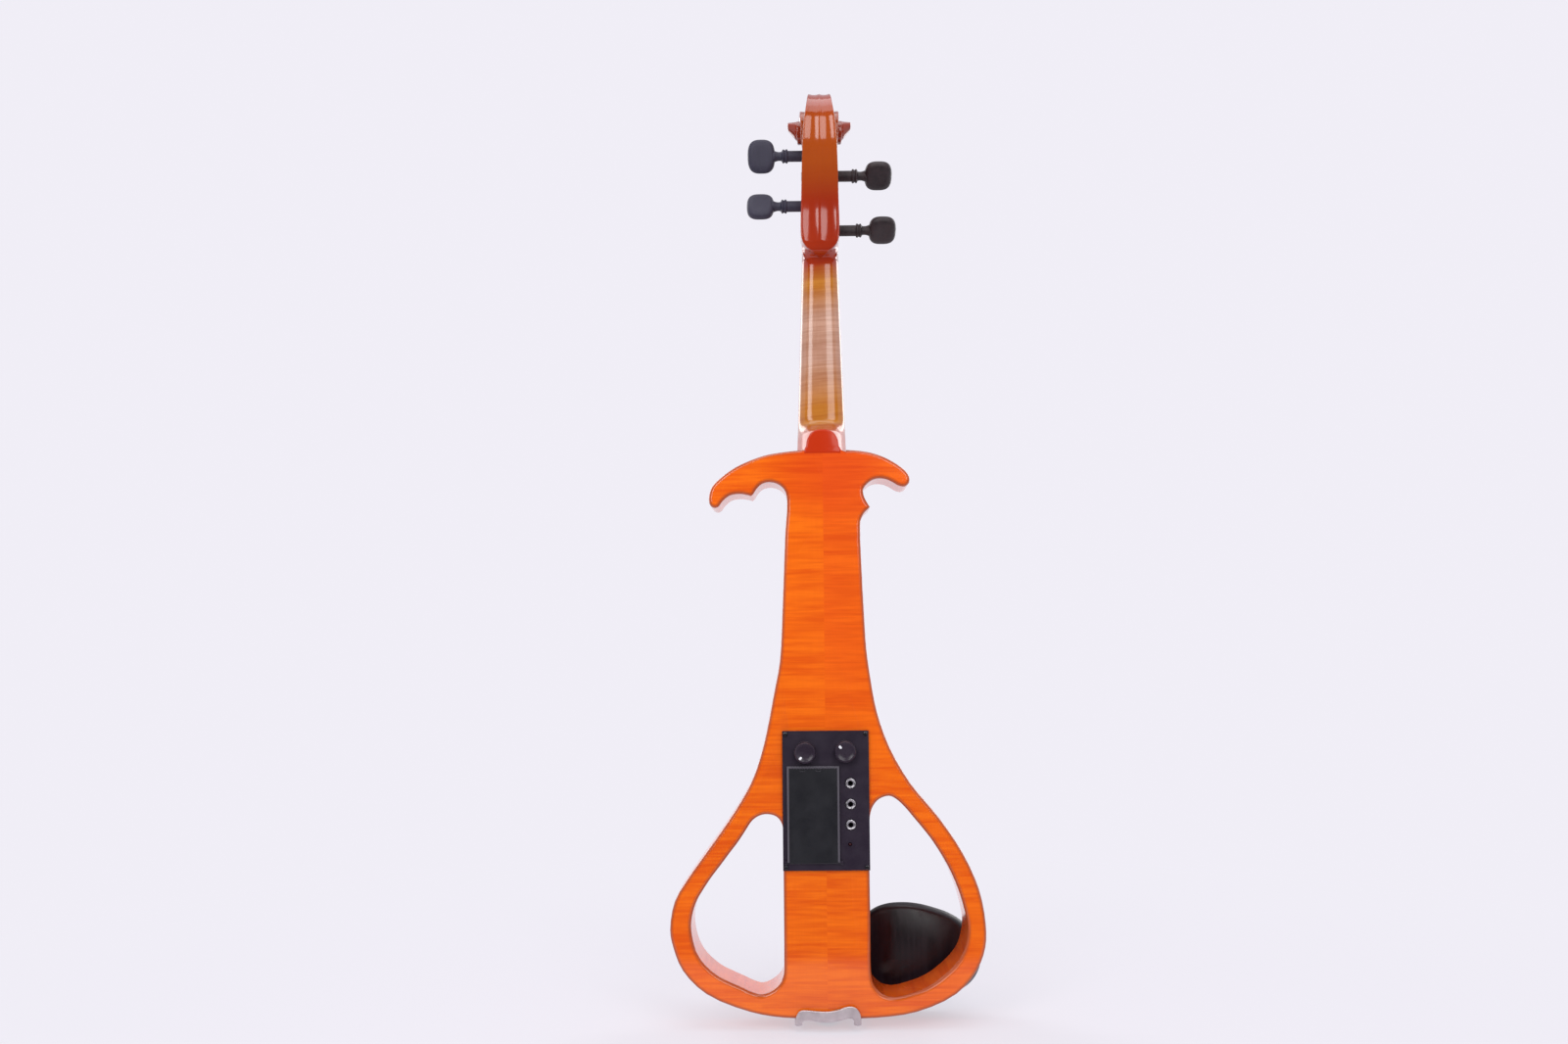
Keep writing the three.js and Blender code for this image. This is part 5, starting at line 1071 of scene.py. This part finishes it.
foot = [(BRIDGE_HALF * FOOT_SHARE, BRIDGE_BASE), (BRIDGE_HALF, BRIDGE_BASE)]
crown = [(x, BRIDGE_TOP - arch_drop(x)) for x in stations(18.4, -18.4, 25)]
outline = foot + cut_along(SIDE_SHARES, 30) + crown
outline += cut_along(SIDE_SHARES, 30, -1)[::-1] + [(-x, y) for x, y in reversed(foot)]
outline += cut_along(ARCH_SHARES, 14, -1) + cut_along(ARCH_SHARES, 14)[::-1][1:]
heart = [(3.3 * math.sin(a)**3 * 1.05, 56.2 + 3.1 * (
    0.81 * math.cos(a) - 0.31 * math.cos(2 * a) - 0.13 * math.cos(3 * a) - 0.06 * math.cos(4 * a)))
    for a in stations(0, math.tau * 0.975, 40)]
kidneys = [[(side * (9.6 + 3.3 * math.cos(a) + 0.9 * math.sin(a)), 53.6 + 3.7 * math.sin(a)
             + 0.7 * math.cos(2 * a)) for a in stations(0, math.tau * 0.97, 32)] for side in (1, -1)]
build = plate([outline, heart] + kidneys, BRIDGE_THICK, 0.3, 3)
for vert in build.verts:
    up = clamp((vert.co.y - BRIDGE_BASE) / (BRIDGE_TOP - BRIDGE_BASE))
    vert.co.z *= lerp(BRIDGE_THICK, BRIDGE_THIN, up) / BRIDGE_THICK
move(build, Matrix.Translation((0, 0, BRIDGE)))
bridge = finish_piece("bridge_carved", build, bare_maple.material, "bridge", 35.0)
print("bridge faces", len(bridge.data.polygons))

# %% [markdown]
# The tailpiece is milled from ebony with a gently arched top. Its CAD node has the right windows and holes
# but a flat top, so the top is divided lengthwise and bent down to both sides. The fret for the strings
# stays up.

# %% Tailpiece
ON_TAIL = Matrix.Translation(TAIL_FRET) @ Matrix.Rotation(TILT, 4, "X")
TAIL_ARCH, TAIL_DEPTH, FRET_PROUD = 105.0, 11, 0.22


def tail_rim(edge):
    """Tells the long upper edges from the rims of the windows and the fret."""
    a, b = (v.co for v in edge.verts)
    level = max(abs(a.y), abs(b.y)) < 0.01
    windows = all(-19.0 < v.z < -6.5 and abs(v.x) < 17.0 for v in (a, b))
    return level and not windows and max(a.z, b.z) - min(a.z, b.z) + abs(a.x - b.x) > 0.9


build = move(cad_copy("tailpiece", 0.4), ON_TAIL.inverted() @ TO_FRAME.inverted())
soften(build, 1.1, 50.0, 3, tail_rim)
for x in stations(-21, 21, 29):
    slice_at(build, (x, 0, 0), (1, 0, 0))
for vert in build.verts:
    if vert.co.y < 0.02:
        vert.co.y -= arch_drop(vert.co.x, TAIL_ARCH) * clamp(1 + vert.co.y / TAIL_DEPTH)
    else:
        vert.co.y += FRET_PROUD
tail = finish_piece("tailpiece_milled", move(build, ON_TAIL), ebony, "tailpiece", 30.0)
print("tailpiece faces", len(tail.data.polygons))

# %% [markdown]
# Every fine tuner is a nickel-plated screw with a knurled black knob that pushes a lever down. Knob and
# thread are lathe work. The lever is a small casting, so its CAD node is dressed with broken edges.

# %% Fine tuners
TUNER_KNOB = [
    # radius, height, depth of the knurl
    (0.0, 2.0, 0.0), (2.2, 2.0, 0.0), (3.3, 2.15, 0.0), (3.6, 2.5, 0.22), (3.7, 3.0, 0.22), (3.7, 5.6, 0.22),
    (3.55, 6.2, 0.0), (3.1, 6.6, 0.0), (2.5, 6.45, 0.0), (1.2, 6.3, 0.0), (0.35, 6.28, 0.0),
]
for index, string in enumerate("gdae"):
    stand = ON_TAIL @ Matrix.Translation((spread_at(index, TAIL_SPREAD), 0, -33.0))
    stand = stand @ Matrix.Rotation(-math.pi / 2, 4, "X")
    knob = sweep([ring_of(radius, height, 60, tooth) for radius, height, tooth in TUNER_KNOB])
    knob = move(knob, stand)
    finish_piece("tuner_knob_turned_" + string, knob, knob_plastic, "tuner_knob_" + string, 32.0)
    screw = turned(thread(1.1, -6.1, 4.3, 0.5), stand, 20)
    finish_piece("tuner_screw_turned_" + string, screw, nickel, "tuner_shaft_" + string, 25.0)
    dressed("tuner_lever_" + string, nickel, 0.00022)
dressed("tuner_axle", nickel, 0.0002)
print("fine tuners 4")

# %% [markdown]
# The tailgut is a stiff nylon cord, bent once round the end button and knotted inside the tailpiece. The
# button is turned ebony with a groove, and its shank sits in the end of the body.

# %% Tailgut and end button
GUT_RADIUS, GUT_X, GUT_LOOP, BUTTON_Y = 0.9, 4.6, 5.6, 19
KNOT = [(0.0, -1.6), (1.2, -1.5), (1.7, -0.8), (1.75, 0.0), (1.7, 0.8), (1.2, 1.5), (0.0, 1.6)]
END_BUTTON = [
    (0.0, -4.35), (2.2, -4.3), (4.6, -4.05), (6.2, -3.7), (6.85, -3.2), (7.0, -2.8), (6.75, -2.45),
    (5.6, -2.3), (4.6, -2.0), (4.4, -1.6), (4.4, -0.7), (4.7, -0.35), (3.5, -0.3), (3.4, 13.0),
    (3.0, 13.7), (0.0, 13.8)]
gut_side = [from_tail(GUT_X, -4.8, -92.2), from_tail(GUT_X, -4.8, -98.0), (GUT_X, 42.6, 6.2),
            (GUT_X, 42.6, 0.3), (GUT_X, 41.4, -0.9), (GUT_X, 38.7, -1.2)]
loop = [(GUT_LOOP * math.cos(a), BUTTON_Y - GUT_LOOP * math.sin(a), -1.2) for a in stations(0, math.pi, 17)]
route = gut_side + loop + [(-x, y, z) for x, y, z in reversed(gut_side)]
build = tube(rounded_path(route, 1.5, 3), GUT_RADIUS, 14)
for side in (1, -1):
    turned(KNOT, Matrix.Translation(from_tail(side * GUT_X, -4.8, -91.6)), 16, build)
finish_piece("tailgut_bent", build, gut_nylon, "tailgut", 50.0)
build = turned(END_BUTTON, Matrix.Translation((0, BUTTON_Y, 0)), 48)
finish_piece("end_button_turned", build, ebony, "end_button", 35.0)
for node in ("chinrest_cork", "clamp_cork"):
    dressed(node, cork_sheet, 0.0002)
print("gut points", len(route))

# %% [markdown]
# A chinrest is carved from a block: a dished cup beside the tailpiece and an arm that bridges over its end.
# Seen from behind it is one smooth bowl. Rings spread from the middle of the cup to its outline, first over
# the dished top, then round the rim and back along the rounded underside, so that there is no edge anywhere.

# %% Chinrest
CUP_REACH, CUP_LOW, CUP_TOP = 102.0, -6.5, 62.5
CUP_SHARES = [
    (-0.25, 0.02), (-0.265, 0.2), (-0.22, 0.38), (-0.08, 0.5), (0.08, 0.62), (0.19, 0.78), (0.29, 0.935),
    (0.39, 0.99), (0.5, 1.0), (0.6, 0.985), (0.7, 0.945), (0.79, 0.9), (0.87, 0.83), (0.94, 0.73),
    (0.985, 0.6), (1.0, 0.44), (0.955, 0.28), (0.865, 0.17), (0.7, 0.09), (0.49, 0.04), (0.26, 0.01),
    (0.0, 0.0), (-0.2, 0.0)]
CUP_MIDDLE, CUP_DISH = Vector((61.2, 26.6)), Vector((41.5, 29.5))
CUP_FACE, DISH_DEPTH, BOWL_BASE, ARM_BASE = 56.5, 6.2, 44.7, 51.25
RING_SHARES = [0.02, 0.12, 0.24, 0.36, 0.48, 0.58, 0.67, 0.75, 0.82, 0.88, 0.92, 0.95, 0.975, 0.99]
outline = [(CUP_REACH * out, lerp(CUP_LOW, CUP_TOP, up)) for out, up in CUP_SHARES]
cup_line = [Vector(p) for p in smooth_loop(outline, 3)]


def cup_radius(angle):
    """Distance from the cup's middle to its outline."""
    way = Vector((math.cos(angle), math.sin(angle)))
    best = 0.0
    for a, b in zip(cup_line, cup_line[1:] + cup_line[:1]):
        a, b = a - CUP_MIDDLE, b - CUP_MIDDLE
        turn = way.cross(b - a)
        if abs(turn) > 1e-9 and -1e-6 <= a.cross(way) / turn <= 1 + 1e-6:
            best = max(best, a.cross(b - a) / turn)
    return best


def cup_top_height(x, z, share):
    away = ((x - CUP_MIDDLE.x) / CUP_DISH.x)**2 + ((z - CUP_MIDDLE.y) / CUP_DISH.y)**2
    hollow = DISH_DEPTH * max(0.0, 1 - away)**1.25
    return CUP_FACE - hollow - 2.4 * max(0.0, (share - 0.88) / 0.12)**2.2


def cup_under_height(x, share):
    bowl = BOWL_BASE + 5.4 * share**2.2 + 3.9 * max(0.0, (share - 0.9) / 0.1)**2.0
    arm = ARM_BASE + 2.8 * max(0.0, (share - 0.93) / 0.07)**2.0
    t = clamp((x - 23.0) / 23.0)
    return lerp(arm, bowl, t * t * (3 - 2 * t))


WAYS = [(math.cos(angle), math.sin(angle), cup_radius(angle)) for angle in turns_of(168)]


def cup_ring(share, top):
    ring = []
    for right, up, reach in WAYS:
        x, z = CUP_MIDDLE.x + reach * share * right, CUP_MIDDLE.y + reach * share * up
        ring.append((x, cup_top_height(x, z, share) if top else cup_under_height(x, share), z))
    return ring


rings = [cup_ring(share, True) for share in RING_SHARES]
rings += [cup_ring(share, False) for share in [1.0] + RING_SHARES[::-1]]
cup = finish_piece("chinrest_carved", sweep(rings), chin_ebony, "chinrest", 60.0)
for side in (1, -1):
    foot = smooth_loop([(side * 12.4, 2.7), (side * 26, 2.7), (side * 26, 10.9), (side * 12.4, 10.9)], 2)
    build = move(plate([foot], 11.9, 0.6, 3), at(0, 46.2, 0))
    finish_piece("chinrest_foot_%d" % (side > 0), build, chin_ebony, "chinrest")
print("chinrest faces", len(cup.data.polygons))

# %% [markdown]
# The clamp pulls the chinrest down on the body's edge. Two long turnbuckle barrels join the studs of an
# upper bracket to those of a lower one, whose stamped wavy plate is all that the back shows. Its two tabs
# are bent over the bottom edge. The small hole for a key in each barrel's waist is left out.

# %% Chinrest clamp
STUD_X, STUD_Z, STUD_RADIUS, STUD_PITCH = 18.3, -2.6, 1.2, 0.8
BARREL = [
    (1.55, 9.3), (1.75, 9.0), (2.0, 9.05), (2.2, 9.4), (2.2, 12.0), (2.05, 12.2), (2.05, 12.6), (2.2, 12.8),
    (2.2, 18.3), (1.45, 18.9), (1.45, 20.1), (2.2, 20.7), (2.2, 26.2), (2.05, 26.4), (2.05, 26.8),
    (2.2, 27.0), (2.2, 29.6), (2.0, 29.95), (1.75, 30.0), (1.55, 29.7), (1.55, 9.3)]
GRIP_SHARES = [
    (-1, -0.2), (-0.97, 0.3), (-0.86, 0.72), (-0.62, 0.74), (-0.3, 0.64), (0, 0.62), (0.3, 0.72),
    (0.5, 0.92), (0.68, 1), (0.86, 0.88), (0.98, 0.45), (1, -0.2), (0.79, -0.2), (0.74, 0.2), (0.5, 0.1),
    (0.25, -0.06), (0, -0.14), (-0.3, -0.08), (-0.6, 0.04), (-0.76, 0), (-0.79, -0.2)]


def stud(side, low, high, build):
    return turned(thread(STUD_RADIUS, low, high, STUD_PITCH), at(side * STUD_X, 0, STUD_Z), 18, build)


bracket = smooth_loop([(-22, -6.4), (22, -6.4), (22, 1.7), (-22, 1.7)], 2)
build = move(plate([bracket], 1.5, 0.3, 2), at(0, 50.15, 0))
for side in (1, -1):
    stud(side, -50.2, -21.2, build)
finish_piece("clamp_bracket_stamped", build, nickel, "clamp_bracket", 28.0)

wave = smooth_loop([(20.6 * out, 8.8 * up) for out, up in GRIP_SHARES], 3)
build = move(plate([wave], 1.8, 0.55, 4), at(0, -3.0, 0))
bend = rounded_path([(0, -2.95, 1.2), (0, -2.95, STUD_Z), (0, 4.5, STUD_Z)], 1.9, 6)
for side in (1, -1):
    rings = []
    for point, ahead in zip(bend, headings(bend)):
        other = Vector((1, 0, 0)).cross(ahead)
        wide = 2.3 * (0.8 if point == bend[-1] else 1.0)
        corners = smooth_loop([(wide, 0.9), (-wide, 0.9), (-wide, -0.9), (wide, -0.9)], 2)
        rings.append([point + Vector((side * STUD_X + a, 0, 0)) + other * b for a, b in corners])
    sweep(rings, build)
    stud(side, -19.0, -1.0, build)
finish_piece("clamp_foot_stamped", build, nickel, "clamp_foot", 28.0)

for name, side in (("left", -1), ("right", 1)):
    build = turned([(radius, -depth) for radius, depth in BARREL], at(side * STUD_X, 0, STUD_Z), 32)
    finish_piece("barrel_turned_" + name, build, nickel, "clamp_barrel_" + name, 28.0)
print("clamp pieces 4")

# %% [markdown]
# The preamplifier is a moulded plate let into the back. Its door is hinged at the lower edge and has fine
# ribs for a fingernail at the top. Moulded parts have a small round on every edge, which is where they
# catch light.
# The door's rim, ribs and rounded edges are painted a lighter grey as their highlight.

# %% Panel, door and screws
dressed("preamp_panel", case_plastic, 0.00035)
build = soften(cad_copy("battery_door"), 0.0005, mark="rubbed_edge")
flat_normals(finish_piece("battery_door_finished", build, door_plastic, "battery_door", in_frame=True))
rim = [(-24.4, 96.4), (-23.1, 96.4), (-23.1, 154.5), (7.1, 154.5), (7.1, 96.4), (8.4, 96.4), (8.4, 155.8),
       (-24.4, 155.8)]
build = move(plate([rim], 0.5, 0.12, 1), at(0, -3.65, 0))
for x in stations(-21.6, 5.6, 17):
    path = [(x, -3.55, 154.3), (x, -4.0, 154.5), (x, -4.0, 155.4), (x, -3.55, 155.6)]
    tube(rounded_path(path, 0.4, 3), 0.3, 8, build)
# The rim and ribs are marked so that the door's finish paints them lighter, as highlight.
rib_highlight_mark = build.verts.layers.float.new("rubbed_edge")
for vert in build.verts:
    vert[rib_highlight_mark] = 0.7
finish_piece("battery_door_ribs", build, door_plastic, "battery_door")

SCREW = [(0.0, 2.75), (0.35, 2.75), (0.36, 3.12), (0.8, 3.16), (1.2, 3.0), (1.4, 2.7), (1.4, 2.42),
         (0.78, 2.4), (0.7, -1.0), (0.0, -1.6)]
for number in (1, 2, 3, 4):
    low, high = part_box("panel_screw_%d" % number)
    x, z = (low[0] + high[0]) / 2 * 1000, ((low[2] + high[2]) / 2 - BOTTOM_PLACE) * 1000
    finish_piece("panel_screw_turned_%d" % number, turned(SCREW, at(x, 0, z), 24), dark_nickel,
                 "panel_screw_%d" % number, 30.0)
print("screws 4")

# %% [markdown]
# Each control knob is moulded black plastic with a ribbed skirt, a dished top and a white line filled into a
# groove that shows where it points. The lines stand where the photograph shows them.

# %% Control knobs
PANEL_LOW, PANEL_FACE, KNOB_FACE = 91.19, -3.3, 5.3
KNOB = [
    # radius, height, depth of the ribs
    (0.0, -5.0, 0.0), (2.0, -5.0, 0.0), (2.1, -4.7, 0.0), (2.1, 0.0, 0.0), (6.7, 0.02, 0.0), (6.95, 0.2, 0.0),
    (7.0, 0.6, 0.0), (6.95, 0.8, 0.22), (6.55, 4.6, 0.22), (6.5, 4.8, 0.0), (6.35, 5.25, 0.0),
    (6.0, 5.55, 0.0), (5.6, 5.6, 0.0), (5.2, 5.5, 0.0), (4.6, 5.2, 0.0), (3.0, 5.0, 0.0), (1.2, 4.92, 0.0),
    (0.0, 4.9, 0.0),
]
BAR = [(4.0 + 0.75 * math.cos(a), 0.75 * math.sin(a)) for a in stations(math.pi / 2, math.pi * 1.5, 9)]
BAR += [(5.0 + 0.75 * math.cos(a), 0.75 * math.sin(a)) for a in stations(-math.pi / 2, math.pi / 2, 9)]
for name, x, rise, degrees in (("volume", -12.9, 73.1, 228), ("tone", 12.3, 73.6, 136)):
    z = PANEL_LOW + rise
    build = sweep([ring_of(radius, height, 96, tooth) for radius, height, tooth in KNOB])
    move(build, at(x, PANEL_FACE, z))
    finish_piece(name + "_knob_moulded", build, knob_plastic, name + "_knob", 32.0)
    point = Matrix.Translation((x, 0, z)) @ Matrix.Rotation(-math.radians(degrees), 4, "Y")
    point = point @ at(0, PANEL_FACE - KNOB_FACE, 0)
    finish_piece(name + "_pointer", move(plate([BAR], 0.5, 0.1, 1), point), pointer_paint, name + "_knob")
print("control knobs 2")

# %% [markdown]
# The sockets are chromed rings, bored for the plug, with a dark lining. The pilot lamp is a small dark red
# lens in a black hole. Potentiometers, board, battery and lead fill the pocket behind the panel.

# %% Sockets, lamp and the inner parts
JACK_X, JACK_CUT, LAMP_X, LAMP_RISE = 15.4, 0.55, 14.8, 16.0
COLLAR = [(1.72, -0.5), (3.2, -0.5), (3.2, 2.35), (3.15, 2.7), (2.9, 2.95), (2.6, 3.0), (2.35, 2.9),
          (2.2, 2.6), (2.0, 2.45), (1.8, 2.35), (1.72, 2.1), (1.72, -0.5)]
LINING = [(0.0, -6.0), (1.68, -6.0), (1.68, 2.0), (1.5, 2.2), (1.36, 2.1), (1.34, 1.6), (1.3, -5.0),
          (0.0, -5.2)]
LENS = [(0.0, 2.05), (0.4, 2.0), (0.75, 1.8), (0.98, 1.4), (1.0, 0.2), (1.6, 0.1), (1.6, -6.0), (0.0, -6.2)]
for name, rise in (("headphone_jack", 53.8), ("aux_jack", 40.9), ("output_jack", 28.1)):
    stand = at(JACK_X, 0, PANEL_LOW + rise)
    build = move(cad_copy(name, 0.4), TO_FRAME.inverted())
    slice_at(build, (0, JACK_CUT, 0), (0, -1, 0), drop=True)
    finish_piece(name + "_case", close_ends(build), case_plastic, name, 30.0)
    finish_piece(name + "_collar", turned(COLLAR, stand, 40), socket_metal, name, 30.0)
    finish_piece(name + "_lining", turned(LINING, stand, 32), knob_plastic, name, 30.0)
build = turned(LENS, at(LAMP_X, 0, PANEL_LOW + LAMP_RISE), 28)
finish_piece("power_lamp_lens", build, lamp_lens, "power_lamp")

INNER = [
    ("battery", battery_jacket, 0.0012, 3), ("battery_clip", gut_nylon, 0.0005, 2),
    ("circuit_board", board_lacquer, 0.00015, 1), ("volume_pot", socket_metal, 0.0003, 2),
    ("tone_pot", socket_metal, 0.0003, 2), ("bridge_pickup", nickel, 0.0002, 2),
]
for inner in INNER:
    dressed(*inner)
lead = [(0, 36.6), (0, 29.3), (2.25, 24.2), (6.75, 20.5), (9, 16.9), (9, 14.9)]
build = tube(rounded_path([(x, y, BRIDGE) for x, y in lead], 2.5, 5), 0.7, 12)
finish_piece("pickup_lead_drawn", build, gut_nylon, "pickup_lead", 50.0)
print("inner parts", len(INNER) + 1)

# %% [markdown]
# The CAD nodes themselves keep their shape. Each gets the finish of its material slot, so that a node looks
# like the piece that stands for it wherever the node is shown instead. Leaving them bare would be shorter,
# but the frame alone would then show grey blocks.

# %% Finishes of the CAD nodes
SLOT_FINISH = {
    "varnished_maple": maple.material, "head_varnish": wood.material, "ebony": ebony,
    "black_plastic": case_plastic, "door_plastic": door_plastic, "bridge_maple": bare_maple.material,
    "nickel": nickel, "socket_metal": socket_metal, "string_wire": string_wire, "cork": cork_sheet,
    "circuit_green": board_lacquer, "lamp_red": lamp_lens, "nylon": gut_nylon,
    "battery_shell": battery_jacket,
}
for name, slot in SLOT_OF.items():
    materials = nodes[name].data.materials
    materials.clear()
    materials.append(SLOT_FINISH[slot])
print("CAD nodes with a finish", len(SLOT_OF))
